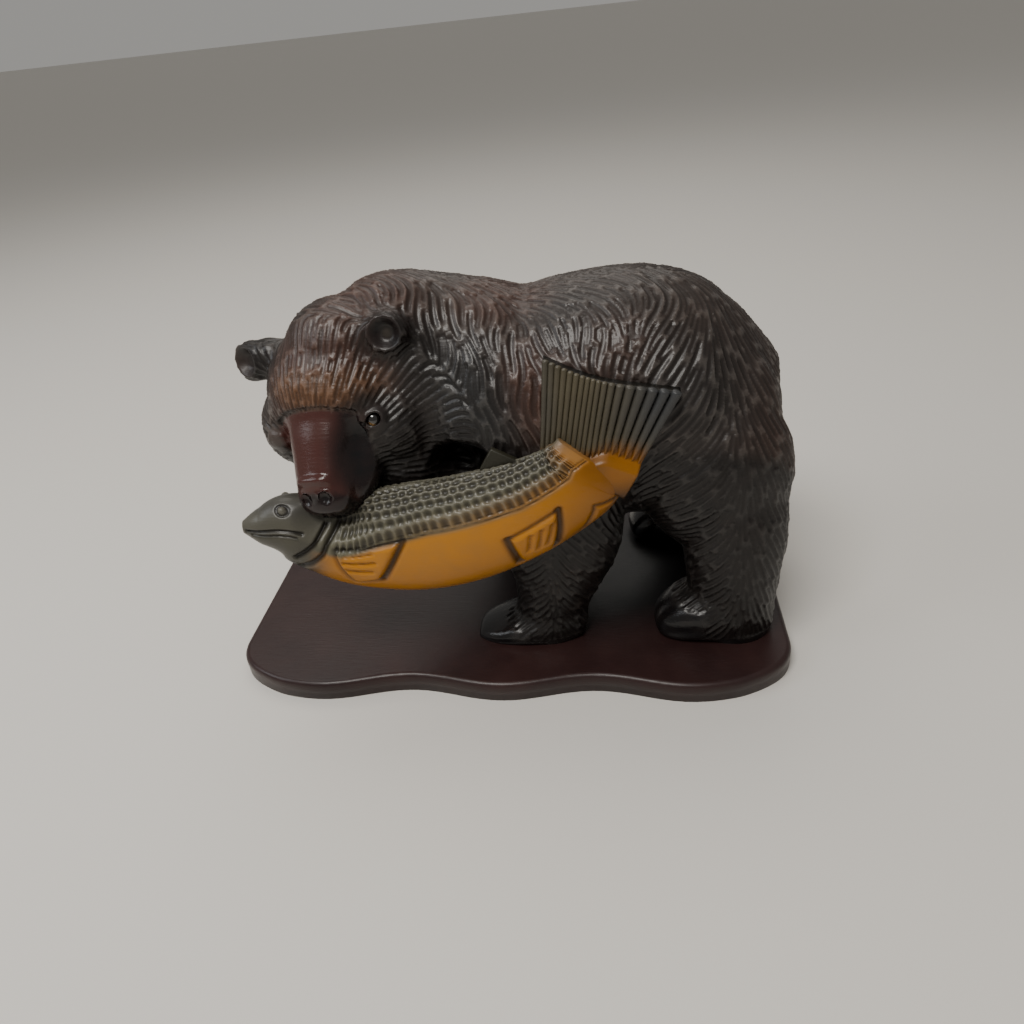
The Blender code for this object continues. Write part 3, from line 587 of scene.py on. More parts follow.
def fur_flow(points, normals):
    """The way the hair grows at every point of the skin."""
    places = to_grid(points)
    x, y, z = places.T
    beside = x - np.interp(z, *zip(*HIND_PARTING))
    sweep = 0.9 + 0.7 * ease(-z, -13.5, -10.0)
    hind_lean = np.where(beside < 0, sweep, 0.7) * np.tanh(beside / 1.8)
    hind_lean = hind_lean * (1 + 0.3 * ease(-z, -8.0, -4.0))
    hind = ease(x, 5.0, 8.0)
    lean = (np.interp(x, *zip(*FLANK_LEAN)) + waves(places)) * (1 - hind) + hind_lean * hind
    beside = x - FRONT_PARTING
    front_lean = np.where(beside < 0, 1.5, 0.9) * np.tanh(beside / 0.6)
    on_front_leg = ease(-z, -8.0, -6.0) * ease(-x, -7.0, -6.0)
    lean = lean * (1 - on_front_leg) + front_lean * on_front_leg
    lean = lean + 1.4 * ease(normals[:, 2], 0.75, 0.98)
    down = np.stack([lean, 0.6 * np.sign(y) * ease(normals[:, 2], 0.3, 0.9), -np.ones_like(x)], 1)
    off_nose = places - np.array(on_head(*NOSE))
    reach = np.linalg.norm(off_nose, axis=1)
    off_nose = off_nose / reach[:, None]
    on_head_share = ease(-reach, -8.0, -6.0)[:, None]
    flow = off_nose * on_head_share + down * (1 - on_head_share)
    flow -= (flow * normals).sum(1)[:, None] * normals
    return flow / np.maximum(np.linalg.norm(flow, axis=1), 1e-6)[:, None]


def fur_cover(points, normals):
    """1 where the wood is cut as fur and 0 where it is left smooth."""
    places = to_grid(points)
    x, y, z = places.T
    cover = 1 - muzzle_share(places)
    for sign in (1, -1):
        cup = Vector(ear_place(sign)) + ear_facing(sign) * EAR_RADII[2]
        from_cup = np.linalg.norm(places - np.array(cup), axis=1)
        cover = cover * ease(from_cup, 0.72, 0.85)
    for place in (NEAR_EYE, FAR_EYE):
        from_eye = np.linalg.norm(places - np.array(on_head(*place)), axis=1)
        cover = cover * ease(from_eye, 0.5, 0.7)
    front_paw = ease(-z, -1.1, -0.8) * ease(-x, -1.0, 0.0)
    hind_foot = ease(-z, -2.0, -1.7) * ease(x, 5.0, 6.0) * ease(-x, -9.8, -9.0)
    cover = cover * (1 - front_paw) * (1 - hind_foot)
    cover = cover * ease(z, 0.2, 0.5)
    return cover * ease(normals[:, 2], -0.9, -0.6)


STRAND_WIDTHS = ((-9, 0.27), (-4, 0.29), (-1, 0.33), (4, 0.39), (7, 0.34), (9, 0.28), (13, 0.26))
FACE_WIDTH = 0.235
BROW_STROKES = (0.9, 1.2)
BROW_WIDTH = 0.185
LEG_WIDTH = 0.27
TOP_OF_BACK = (14.2, 15.2)
TOP_WIDTH = 0.27
FAR_WIDTH = 0.45


def fur_width(places):
    """How far apart the strokes lie: fine on the face and legs, broad on the far side."""
    x, y, z = places.T
    width = np.interp(x, *zip(*STRAND_WIDTHS))
    reach = np.linalg.norm(places - np.array(on_head(*NOSE)), axis=1)
    face = ease(-reach, -6.0, -4.0)
    width = width * (1 - face) + FACE_WIDTH * face
    side, out, up = head_places(places).T
    brow = ease(out, *BROW_STROKES) * ease(-np.abs(side), -1.6, -1.1) * ease(up, 0.6, 1.0)
    width = width * (1 - brow) + BROW_WIDTH * brow
    top = ease(z, *TOP_OF_BACK) * ease(x, -0.5, 1.0)
    width = width * (1 - top) + TOP_WIDTH * top
    low = ease(-z, -7.5, -5.5)
    width = width * (1 - low) + LEG_WIDTH * low
    hidden = ease(y, 0.5, 2.5)
    return width * (1 - hidden) + np.maximum(width, FAR_WIDTH) * hidden


# %% [markdown]
# Cutting the strokes
#
# A carver pushes a small gouge along the hair, again and again, each stroke beside the
# last. Here each stroke is a path over the skin that follows the flow until it meets
# another stroke. The paths start in a fixed random order, so the fur is the same each run.
# Then every point of the skin sinks by how near it lies to the middle of a stroke, which
# leaves hollow flutes that meet in sharp crests.


# %% Paths of the strokes
STROKE_LENGTHS = (1.8, 3.4)
FACE_STROKES = 0.55
FACE_STROKES_UNDER = 0.25
START_GAP = 0.75
MEET_GAP = 0.5


def comb(points, normals, flow, cover, width, seed):
    """Rows of place, direction, strength and width along every stroke.

    Each stroke starts beside one that is there already, at the strand's width from it.
    """
    rng = random.Random(seed)
    tree = kdtree.KDTree(len(points))
    for i, place in enumerate(points):
        tree.insert(place, i)
    tree.balance()
    cells = {}
    cell = float(width.max())
    ahead = [Vector(way) for way in flow]
    outward = [Vector(way) for way in normals]
    length = np.where(width < FACE_STROKES_UNDER * SQUARE, FACE_STROKES, 1.0)
    strokes = []
    waiting = collections.deque()

    def crowded(place, gap):
        a, b, c = (int(value // cell) for value in place)
        for i in (a - 1, a, a + 1):
            for j in (b - 1, b, b + 1):
                for k in (c - 1, c, c + 1):
                    for other in cells.get((i, j, k), ()):
                        if (place - other).length < gap:
                            return True
        return False

    def walk(here, index, way, run):
        """Follow the hair one way until the stroke is long enough or meets another."""
        path = []
        travelled = 0.0
        while travelled < run:
            step = width[index] * 0.25
            here = here + ahead[index] * (way * step)
            found, index, _ = tree.find(here)
            here = here - outward[index] * (here - found).dot(outward[index])
            travelled += step
            if cover[index] < 0.5 or crowded(here, width[index] * MEET_GAP):
                break
            path.append((here, index))
        return path

    def lay(place):
        found, index, _ = tree.find(place)
        if cover[index] < 0.5 or crowded(found, width[index] * START_GAP):
            return
        start = place - outward[index] * (place - found).dot(outward[index])
        run = rng.uniform(*STROKE_LENGTHS) * SQUARE * length[index]
        back = walk(start, index, -1, run / 2)
        path = back[::-1] + [(start, index)] + walk(start, index, 1, run / 2)
        if len(path) < 6:
            return
        strength = rng.uniform(0.8, 1.05)
        for i, (here, index) in enumerate(path):
            key = tuple(int(value // cell) for value in here)
            cells.setdefault(key, []).append(here)
            reach = min(1.0, min(i + 1, len(path) - i) / (0.15 * len(path)))
            strokes.append((*here, *ahead[index], strength * reach ** 0.7, width[index]))
            if i % 3 == 0:
                beside = outward[index].cross(ahead[index]) * width[index]
                waiting.extend((here + beside, here - beside))

    order = [i for i in range(len(points)) if cover[i] > 0.5]
    rng.shuffle(order)
    for start in order:
        lay(Vector(points[start]))
        while waiting:
            lay(waiting.popleft())
    return np.array(strokes)


GROOVE_REACH = 0.6


def groove_share(points, normals, strokes):
    """1 in the middle of a cut and 0 on the strands between, and each point's stroke width."""
    tree = kdtree.KDTree(len(strokes))
    for i, stroke in enumerate(strokes):
        tree.insert(stroke[:3], i)
    tree.balance()
    nearest = np.array([tree.find(place)[1] for place in points])
    found = strokes[nearest]
    offset = points - found[:, :3]
    height = (offset * normals).sum(1)
    offset = offset - height[:, None] * normals
    along = (offset * found[:, 3:6]).sum(1)
    beside = np.sqrt(np.maximum((offset ** 2).sum(1) - along ** 2, 0))
    past_end = np.maximum(np.abs(along) - found[:, 7] * 0.3, 0)
    beside = np.hypot(beside, past_end)
    share = np.clip(1 - (beside / (GROOVE_REACH * found[:, 7])) ** 2, 0, 1)
    return share * found[:, 6] * (np.abs(height) < found[:, 7] * 1.5), found[:, 7]


# %% Cut the fur
FUR_DEPTH = 0.36
FUR_SEED = 11

points, normals = surface(bear_skin)
cover = fur_cover(points, normals)
width = fur_width(to_grid(points)) * SQUARE
fur = comb(points, normals, fur_flow(points, normals), cover, width, FUR_SEED)
share, widths = groove_share(points, normals, fur)
set_points(bear_skin, points - normals * (share * cover * widths * FUR_DEPTH)[:, None])
print("fur:", len(fur), "steps of the gouge")


# %% [markdown]
# Thinning the skin
#
# The melted skin has one size of face everywhere, which is more than it needs. It is thinned
# in two rounds, the far side first and the side that shows after it, so that most of the
# triangles are left for the strokes that are seen.


# %% Thin the skin
FAR_TRIANGLES = 46000
BEAR_TRIANGLES = 198000
SHOWN_WAY = (0.1, -0.8, 0.6)
SHOWN_FROM = -0.15


def count_triangles(faces):
    return sum(len(face.vertices) - 2 for face in faces)


def thin_out(name, mesh, chosen, triangles):
    """The same form with fewer triangles at the chosen points, down to a count for it all."""
    work = placed(name, mesh)
    work.vertex_groups.clear()
    group = work.vertex_groups.new(name="chosen")
    group.add([int(i) for i in np.flatnonzero(chosen)], 1.0, "REPLACE")
    work.modifiers.new("triangles", "TRIANGULATE").quad_method = "BEAUTY"
    thin = work.modifiers.new("thin out", "DECIMATE")
    thin.ratio = min(1.0, triangles / count_triangles(mesh.polygons))
    thin.vertex_group = group.name
    light = evaluated(work)
    light.name = name
    return light


def shown(mesh):
    """True for the points that look to the front or up."""
    points, normals = surface(mesh)
    return (normals @ np.array(SHOWN_WAY) > SHOWN_FROM) & (to_grid(points)[:, 1] < 3.0)


seen = shown(bear_skin)
seen_triangles = count_triangles(face for face in bear_skin.polygons if seen[face.vertices[0]])
bear_skin = thin_out("bear", bear_skin, ~seen, FAR_TRIANGLES + seen_triangles)
bear_skin = thin_out("bear", bear_skin, shown(bear_skin), BEAR_TRIANGLES)
bear_skin.shade_smooth()
print("bear:", len(bear_skin.polygons), "triangles, of", seen_triangles, "on the side that shows")


# %% [markdown]
# The salmon
#
# The salmon is a bent, flattened loft. Its skin is a regular net, so every carved line can
# be placed by how far along the fish it lies and how far up its side.


# %% The salmon's net
SALMON = [
    (-10.75, -6.5, 7.95, 0.25, 0.3),
    (-10.0, -6.35, 7.9, 0.8, 0.85),
    (-8.9, -6.1, 7.75, 1.15, 1.5),
    (-7.6, -5.8, 7.05, 1.35, 1.95),
    (-5.8, -5.65, 6.5, 1.45, 2.4),
    (-3.4, -5.75, 6.65, 1.45, 2.7),
    (-0.9, -5.8, 7.15, 1.45, 2.6),
    (1.6, -5.7, 8.0, 1.3, 2.3),
    (3.6, -5.5, 9.0, 1.1, 2.0),
    (4.2, -5.4, 9.6, 0.95, 1.95),
    (4.6, -5.3, 10.1, 0.58, 1.85),
]
BITE_PLACE = (-6.4, -6.9, 8.4)
BITE_REACH = (2.0, 1.4, 1.3)
BITE_DEPTH = 0.6
SALMON_STEPS = 32
SALMON_SIDES = 230
SALMON_LENGTH = 20.5

# The carving of its side: shares of its length, and of its height above the middle
MOUTH = ((0.02, 0.0), (0.11, 0.2), (0.24, 0.25))
LOWER_LIP = ((0.06, -0.12), (0.14, 0.0), (0.23, 0.1))
GILL_COVERS = (((0.335, 0.6), (0.322, 0.25), (0.317, -0.1), (0.275, -0.75)),
               ((0.300, 0.5), (0.285, 0.1), (0.25, -0.5)))
SIDE_LINE = ((0.35, 0.0), (0.46, 0.27), (0.55, 0.36), (0.63, 0.36), (0.71, 0.33), (0.81, 0.4),
             (0.91, 0.42), (0.96, 0.36), (0.995, 0.27))
BREAST_FIN = ((0.342, 0.10), (0.50, 0.29), (0.442, -0.47), (0.392, -0.63))
BELLY_FIN = ((0.665, -0.15), (0.725, -0.08), (0.762, -0.05), (0.72, -0.85), (0.66, -0.8))
VENT_FIN = ((0.767, -0.9), (0.825, -0.5), (0.867, -0.85))
FIN_RAYS = (
    ((0.37, 0.02), (0.44, 0.12)),
    ((0.37, -0.12), (0.44, -0.06)),
    ((0.38, -0.28), (0.43, -0.25)),
    ((0.685, -0.55), (0.70, -0.25)),
    ((0.70, -0.6), (0.72, -0.25)),
    ((0.715, -0.6), (0.74, -0.25)),
)
FIN_SHADOWS = (
    ((0.50, 0.29), (0.442, -0.47)),
    ((0.665, -0.15), (0.66, -0.8)),
    ((0.762, -0.05), (0.72, -0.85)),
)
SALMON_EYE = (0.185, 0.80)
SIDE_LINE_GAP = 0.07
FIN_EDGE_WIDTH = 0.2
FIN_EDGE_DEPTH = 0.09
SCALE_LENGTH = 0.37
SCALE_HEIGHT = 0.52
SCALE_DEPTH = 0.13
FIRST_SCALE_HEIGHT = 0.66
SCALE_SWAY = 0.24


def side_places(points):
    halves = smooth_run(SALMON, SALMON_STEPS)[:, 4]
    placed = []
    for along, height in points:
        half = halves[int(along * (len(halves) - 1))]
        placed.append((along * SALMON_LENGTH, math.asin(height) * half))
    return np.array(placed)


def gap_to_path(places, path):
    gaps = np.full(len(places), 1e9)
    for start, end in zip(path, path[1:]):
        way = end - start
        share = np.clip(((places - start) @ way) / (way @ way), 0, 1)
        gaps = np.minimum(gaps, np.linalg.norm(places - start - share[:, None] * way, axis=1))
    return gaps


def inside(places, corners):
    within = np.zeros(len(places), bool)
    for (ax, ay), (bx, by) in zip(corners, np.roll(corners, -1, axis=0)):
        crosses = (ay > places[:, 1]) != (by > places[:, 1])
        rise = np.where(abs(by - ay) < 1e-9, 1e-9, by - ay)
        within ^= crosses & (places[:, 0] < (bx - ax) * (places[:, 1] - ay) / rise + ax)
    return within


# %% Carve the salmon
def carve_salmon(mesh):
    points, normals = surface(mesh)
    halves = smooth_run(SALMON, SALMON_STEPS)[:, 4]
    ring = np.arange(len(points)) // SALMON_SIDES
    turn = 2 * np.pi * (np.arange(len(points)) % SALMON_SIDES) / SALMON_SIDES
    half = halves[ring]
    height = np.arcsin(np.clip(np.sin(turn), -1, 1)) * half
    near = np.cos(turn) < 0.05
    along = ring / (len(halves) - 1) * SALMON_LENGTH
    places = np.stack([along, height], 1)
    rise = np.zeros(len(points))

    def cut(path, width, depth):
        gap = gap_to_path(places, side_places(path))
        return -depth * np.clip(1 - gap / (width / 2), 0, 1) ** 1.3

    line = side_places(SIDE_LINE)
    above = height - np.interp(along, line[:, 0], line[:, 1])
    scaled = ease(above, 0.05, 0.12) * ease(along, 0.335 * SALMON_LENGTH, 0.35 * SALMON_LENGTH)
    scaled *= ease(-along, -0.97 * SALMON_LENGTH, -0.90 * SALMON_LENGTH)
    rows = np.where(above < FIRST_SCALE_HEIGHT, above / FIRST_SCALE_HEIGHT,
                    1 + (above - FIRST_SCALE_HEIGHT) / SCALE_HEIGHT)
    row = np.floor(rows)
    sway = SCALE_SWAY * np.sin(2.3 * along + 1.9 * row) * np.sin(5.1 * row + 0.7 * along)
    across = (along / SCALE_LENGTH + sway + 0.5 * (row % 2)) % 1 - 0.5
    up = rows % 1 - 0.5
    dimple = np.clip(1 - (np.abs(across * 2) ** 2.2 + np.abs(up * 2) ** 2.2), 0, 1)
    rise -= SCALE_DEPTH * scaled * dimple ** 0.8
    rise += 0.03 * scaled

    rise += cut(MOUTH, 0.26, 0.14) + cut(LOWER_LIP, 0.22, 0.10)
    for cover in GILL_COVERS:
        rise += cut(cover, 0.5, 0.2)
    rise += cut(SIDE_LINE, 0.16, 0.09)
    rise += cut([(u, v + SIDE_LINE_GAP) for u, v in SIDE_LINE], 0.12, 0.06)
    for fin, lift in ((BREAST_FIN, 0.12), (BELLY_FIN, 0.1), (VENT_FIN, 0.04)):
        outline = side_places(fin)
        edge = gap_to_path(places, np.vstack([outline, outline[:1]]))
        held = inside(places, outline) & near
        rise += np.where(held, lift * np.clip(edge / 0.2, 0, 1), 0)
        rise -= np.where(near, FIN_EDGE_DEPTH * np.clip(1 - edge / FIN_EDGE_WIDTH, 0, 1) ** 1.3, 0)
    for shadow in FIN_SHADOWS:
        rise += np.where(near, cut(shadow, 0.5, 0.12), 0)
    for ray in FIN_RAYS:
        rise += np.where(near, cut(ray, 0.26, 0.15), 0)
    from_eye = np.linalg.norm(places - side_places([SALMON_EYE])[0], axis=1)
    rise += 0.12 * np.clip(1 - (from_eye / 0.2) ** 2, 0, 1)
    rise -= 0.09 * np.clip(1 - abs(from_eye - 0.28) / 0.09, 0, 1)
    set_points(mesh, points + normals * (rise * SQUARE)[:, None])
    return along / SALMON_LENGTH, above, height / half, -rise


salmon_skin = loft("salmon", SALMON, sides=SALMON_SIDES, steps=SALMON_STEPS)
press(salmon_skin, BITE_PLACE, BITE_REACH, (0, BITE_DEPTH, 0))
salmon_along, salmon_above, salmon_up, salmon_cut = carve_salmon(salmon_skin)
salmon_skin.shade_smooth()
print("salmon:", len(salmon_skin.polygons), "faces")


# %% [markdown]
# The tail fin
#
# The tail fin is spread against the bear's flank. Its rays are rounded bars that widen
# from the root to the tip, with a narrow cut between each two. The plate is a thin sheet
# between two curves. The rays are all alike, so a Geometry Nodes tree sweeps one profile
# along each ray's line.


# %% The fin's plate and the lines of its rays
FAN_ROOT = [(2.4, -5.15, 10.2), (3.6, -5.45, 10.2), (4.8, -5.5, 9.75), (6.1, -5.25, 8.9)]
FAN_TIPS = [(2.75, -4.6, 14.3), (4.2, -4.95, 13.7), (5.6, -5.3, 13.4), (8.15, -5.4, 13.0)]
FAN_RAYS = 18
FAN_THICKNESS = 0.7
FAN_PLATE_REACH = 0.965
RAY_SHARES = (1.07, 0.93)
RAY_START_FROM = 0.4
RAY_START = 0.30
ROOT_SWELL = 0.48
ROOT_BELOW = 0.14
FAN_RUN = 36
RAY_STEPS = [t / 24 for t in range(24)] + [0.98, 0.986, 0.992, 0.996, 1.0]
fan_root = smooth_run(FAN_ROOT, FAN_RUN)
fan_tips = smooth_run(FAN_TIPS, FAN_RUN)


def along_run(run, share):
    place = share * (len(run) - 1)
    low = int(min(place, len(run) - 2))
    return run[low] + (run[low + 1] - run[low]) * (place - low)


def ray_start(share):
    """How far up from the root the rays begin, which is further on the right."""
    return RAY_START * float(ease(share, RAY_START_FROM, 0.75))


def fan_plate():
    """The thin plate under the rays, whose right root swells out as the fish's tail."""
    form = bmesh.new()
    columns, rows = 61, 41
    reach = FAN_PLATE_REACH / (rows - 1)
    sheets = []
    for back in (0.06, FAN_THICKNESS):
        sheet = []
        for r in range(rows):
            line = []
            for c in range(columns):
                low = along_run(fan_root, c / (columns - 1))
                high = along_run(fan_tips, c / (columns - 1))
                start = ray_start(c / (columns - 1))
                swell = 0
                if start:
                    swell = ROOT_SWELL * (1 - ease(r * reach, start - 0.06, start + 0.03))
                forward = back - swell * (back < FAN_THICKNESS)
                rise = r * reach - ROOT_BELOW * start / RAY_START * (1 - r / (rows - 1))
                place = low + (high - low) * rise + np.array((0, forward, 0))
                line.append(form.verts.new(on_grid(place)))
            sheet.append(line)
        sheets.append(sheet)
    front, rear = sheets
    for sheet in sheets:
        for r in range(rows - 1):
            for c in range(columns - 1):
                form.faces.new((sheet[r][c], sheet[r][c + 1], sheet[r + 1][c + 1], sheet[r + 1][c]))
    for c in range(columns - 1):
        for r in (0, rows - 1):
            form.faces.new((front[r][c], front[r][c + 1], rear[r][c + 1], rear[r][c]))
    for r in range(rows - 1):
        for c in (0, columns - 1):
            form.faces.new((front[r][c], front[r + 1][c], rear[r + 1][c], rear[r][c]))
    return finished("tail plate", form)


def ray_lines():
    """One poly line for each ray, whose radius is the ray's half width, rounded off at its tip."""
    lines = bpy.data.curves.new("tail rays", "CURVE")
    lines.dimensions = "3D"
    for ray in range(FAN_RAYS):
        start = ray_start((ray + 0.5) / FAN_RAYS)
        full = RAY_SHARES[0] + (RAY_SHARES[1] - RAY_SHARES[0]) * ray / FAN_RAYS
        edges = (ray / FAN_RAYS, (ray + 0.5) / FAN_RAYS, (ray + 1) / FAN_RAYS)
        ends = [(along_run(fan_root, edge), along_run(fan_tips, edge)) for edge in edges]
        left, middle, right = ends
        spline = lines.splines.new("POLY")
        spline.points.add(len(RAY_STEPS) - 1)
        for point, t in zip(spline.points, RAY_STEPS):
            place, one, other = [low + (high - low) * t for low, high in (middle, left, right)]
            rounding = math.sqrt(max(0.09, 1 - (max(0.0, t - 0.98) / 0.02) ** 2))
            if start:
                rounding *= 0.25 + 0.75 * float(ease(t, start - 0.1, start + 0.1))
            point.co = (*on_grid(place), 1)
            point.radius = float(np.linalg.norm(one - other)) / 2 * full * rounding
    return lines


# %% A tree that sweeps the rays
def new_tree(name, inputs):
    """A Geometry Nodes tree with a geometry going through and named sizes."""
    tree = bpy.data.node_groups.new(name, "GeometryNodeTree")
    tree.interface.new_socket("Geometry", in_out="INPUT", socket_type="NodeSocketGeometry")
    for label, kind, value in inputs:
        socket = tree.interface.new_socket(label, in_out="INPUT", socket_type=kind)
        if value is not None:
            socket.default_value = value
    tree.interface.new_socket("Geometry", in_out="OUTPUT", socket_type="NodeSocketGeometry")
    return tree


def swept_rays():
    """A tree that sweeps a rounded profile along each line, as wide as the line's radius."""
    tree = new_tree("tail rays", [
        ("Ray width", "NodeSocketFloat", SQUARE),
        ("Ray height", "NodeSocketFloat", SQUARE),
        ("Finish", "NodeSocketMaterial", None),
    ])
    nodes, links = tree.nodes, tree.links
    source = nodes.new("NodeGroupInput")
    result = nodes.new("NodeGroupOutput")
    profile = nodes.new("GeometryNodeCurvePrimitiveCircle")
    profile.inputs["Resolution"].default_value = 12
    profile.inputs["Radius"].default_value = 1.0
    shape = nodes.new("ShaderNodeCombineXYZ")
    flatten = nodes.new("GeometryNodeTransform")
    sweep = nodes.new("GeometryNodeCurveToMesh")
    sweep.inputs["Fill Caps"].default_value = True
    realize = nodes.new("GeometryNodeRealizeInstances")
    paint = nodes.new("GeometryNodeSetMaterial")
    radius = nodes.new("GeometryNodeInputRadius")
    links.new(source.outputs["Ray width"], shape.inputs[0])
    links.new(source.outputs["Ray height"], shape.inputs[1])
    links.new(profile.outputs["Curve"], flatten.inputs["Geometry"])
    links.new(shape.outputs[0], flatten.inputs["Scale"])
    links.new(source.outputs["Geometry"], sweep.inputs["Curve"])
    links.new(flatten.outputs["Geometry"], sweep.inputs["Profile Curve"])
    if "Scale" in sweep.inputs:
        links.new(radius.outputs["Radius"], sweep.inputs["Scale"])
    links.new(sweep.outputs["Mesh"], realize.inputs["Geometry"])
    links.new(realize.outputs["Geometry"], paint.inputs["Geometry"])
    links.new(source.outputs["Finish"], paint.inputs["Material"])
    links.new(paint.outputs["Geometry"], result.inputs[0])
    return tree


rays_tree = swept_rays()


# %% [markdown]
# The small fins and the plinth
#
# The salmon's back fin stands up in the hollow by the mane. The plinth is a thin board whose
# long sides swell in slow waves, with its top edge rounded over.


# %% Back fin
BACK_FIN = ((-0.2, -5.65, 9.6), (-0.1, -5.6, 10.0), (0.42, -5.45, 10.8), (1.5, -5.55, 10.25),
            (1.3, -5.65, 9.7))
BACK_FIN_THICKNESS = 0.3
BACK_FIN_ROUNDING = 0.06


def raise_outline(form, outline, move):
    """A closed solid between an outline and the same outline moved."""
    face = form.faces.new([form.verts.new(point) for point in outline])
    lift = bmesh.ops.extrude_face_region(form, geom=[face])
    raised = [v for v in lift["geom"] if isinstance(v, bmesh.types.BMVert)]
    bmesh.ops.translate(form, verts=raised, vec=move)


def soften_edges(form, edges, radius, segments):
    bmesh.ops.bevel(form, geom=edges, offset=radius, segments=segments, profile=0.5,
                    affect="EDGES", clamp_overlap=True)


def slab(name, corners, thickness, rounding):
    """A thin plate with these corners and soft edges."""
    form = bmesh.new()
    raise_outline(form, [on_grid(corner) for corner in corners], (0, thickness * SQUARE, 0))
    soften_edges(form, form.edges[:], rounding * SQUARE, 3)
    return finished(name, form)


back_fin = slab("back fin", BACK_FIN, BACK_FIN_THICKNESS, BACK_FIN_ROUNDING)
back_fin.shade_smooth()


# %% Plinth
PLINTH_STEPS = 24
PLINTH_STRAIGHT = 40


def plinth_outline():
    """The wavy outline: a rounded rectangle whose long sides swell in slow waves."""
    points = []
    half_x = PLINTH_LENGTH / 2
    half_y = PLINTH_DEPTH / 2
    corners = [(1, 1, 0), (-1, 1, 90), (-1, -1, 180), (1, -1, 270)]
    ends = []
    for sx, sy, start in corners:
        centre = Vector((sx * (half_x - PLINTH_CORNER), sy * (half_y - PLINTH_CORNER)))
        arc = []
        for k in range(PLINTH_STEPS + 1):
            turn = math.radians(start + 90 * k / PLINTH_STEPS)
            arc.append(centre + PLINTH_CORNER * Vector((math.cos(turn), math.sin(turn))))
        ends.append(arc)
    for arc, following in zip(ends, ends[1:] + ends[:1]):
        points += arc
        for k in range(1, PLINTH_STRAIGHT):
            points.append(arc[-1].lerp(following[0], k / PLINTH_STRAIGHT))
    waved = []
    for point in points:
        swell = PLINTH_WAVE * (math.cos(2 * math.pi * point.x / PLINTH_WAVE_LENGTH) - 1)
        share = min(1.0, abs(point.y) / half_y) ** 4
        waved.append(Vector((point.x, point.y + math.copysign(1, point.y) * swell * share)))
    return waved


def plinth_form():
    form = bmesh.new()
    raise_outline(form, [(p.x, p.y, 0) for p in plinth_outline()], (0, 0, PLINTH_THICKNESS))
    top_edges = [e for e in form.edges if all(v.co.z > PLINTH_THICKNESS / 2 for v in e.verts)]
    soften_edges(form, top_edges, PLINTH_ROUNDING, 5)
    mesh = finished("plinth", form)
    for face in mesh.polygons:
        face.use_smooth = len(face.vertices) < 5
    return mesh


plinth = plinth_form()
print("plinth:", len(plinth.polygons), "faces")


# %% [markdown]
# The paint
#
# The block is stained reddish brown and airbrushed with black on the lower legs. The black in
# the deep places is partly airbrush and partly painted shade; under the belly, in the nostrils
# and in the cuts it is painted shade, and the crests of the strokes are painted lighter as
# highlights. The salmon's belly is amber and its back grey. Each stain is a number from 0 to 1
# at every point, laid on as a few soft clouds.


# %% Stains, painted shade and painted highlights on the bear
# Clouds of black: those in the hollow behind the chin, between the legs and over the far legs and
# belly are painted shade, the rest are airbrush
SOOT_AND_SHADE_CLOUDS = [
    ((-3.6, -3.5, 15.3), (1.5, 1.5, 1.4), 0.97),
    ((-2.3, -3.6, 14.3), (1.3, 1.6, 1.8), 0.85),
    ((-3.6, -4.7, 11.6), (1.5, 1.7, 2.0), 0.92),
    ((-4.1, -4.7, 9.8), (1.4, 1.6, 1.6), 1.0),
    ((-1.6, -3.6, 9.7), (2.2, 2.4, 2.0), 1.0),
    ((-5.4, -5.6, 10.8), (1.1, 1.6, 2.0), 0.9),
    ((-4.6, -5.2, 12.9), (0.9, 1.1, 0.7), 0.85),
    ((7.4, -4.8, 6.6), (2.0, 2.6, 3.2), 0.95),
    ((5.8, -2.6, 4.6), (2.6, 3.0, 3.6), 1.0),
    ((4.0, 2.4, 3.5), (8.0, 3.2, 4.5), 1.0),
    ((3.4, -3.9, 9.0), (3.0, 1.4, 1.6), 0.9),
    ((-9.9, -2.3, 14.0), (1.5, 1.6, 1.5), 0.9),
]
ASH_CLOUDS = [
    ((-0.8, -4.4, 12.4), (2.0, 2.4, 3.4), 1.0),
    ((0.6, -5.0, 11.2), (1.4, 1.6, 2.6), 0.7),
    ((8.6, -3.6, 11.5), (3.0, 3.0, 3.0), 0.6),
    ((4.0, -3.6, 15.2), (2.6, 2.6, 1.6), 0.4),
]
RUST_CLOUDS = [
    ((-6.5, -4.4, 14.0), (3.4, 2.6, 2.6), 1.0),
    ((-4.6, -2.0, 16.2), (2.6, 3.0, 1.6), 0.9),
    ((2.2, -4.4, 12.8), (1.6, 2.4, 2.6), 0.9),
    ((0.8, -1.0, 15.8), (2.4, 2.6, 1.2), 0.8),
    ((5.2, -3.8, 14.4), (2.0, 2.4, 1.6), 0.5),
    ((11.8, -3.2, 8.0), (2.2, 2.6, 4.6), 0.35),
    ((3.0, -5.0, 4.8), (1.2, 2.4, 1.6), 0.6),
]
AMBER_CLOUDS = [
    ((-7.0, -5.0, 13.6), (2.4, 1.6, 0.9), 0.8),
    ((-4.8, -4.8, 13.6), (1.6, 1.2, 0.9), 0.6),
    ((3.4, -5.4, 2.8), (1.2, 1.4, 1.6), 0.2),
]


def stained(places, clouds):
    """How strongly a stain lies at each place, from its soft clouds."""
    bare = np.ones(len(places))
    for centre, reach, strength in clouds:
        away = np.linalg.norm((places - np.array(centre)) / np.array(reach), axis=1)
        bare *= 1 - strength * (1 - ease(away, 0.3, 1.3))
    return 1 - bare


def keep(mesh, name, values):
    """Keep a number at every point of a mesh for the materials."""
    attribute = mesh.attributes.new(name, "FLOAT", "POINT")
    attribute.data.foreach_set("value", np.asarray(values, np.float32))
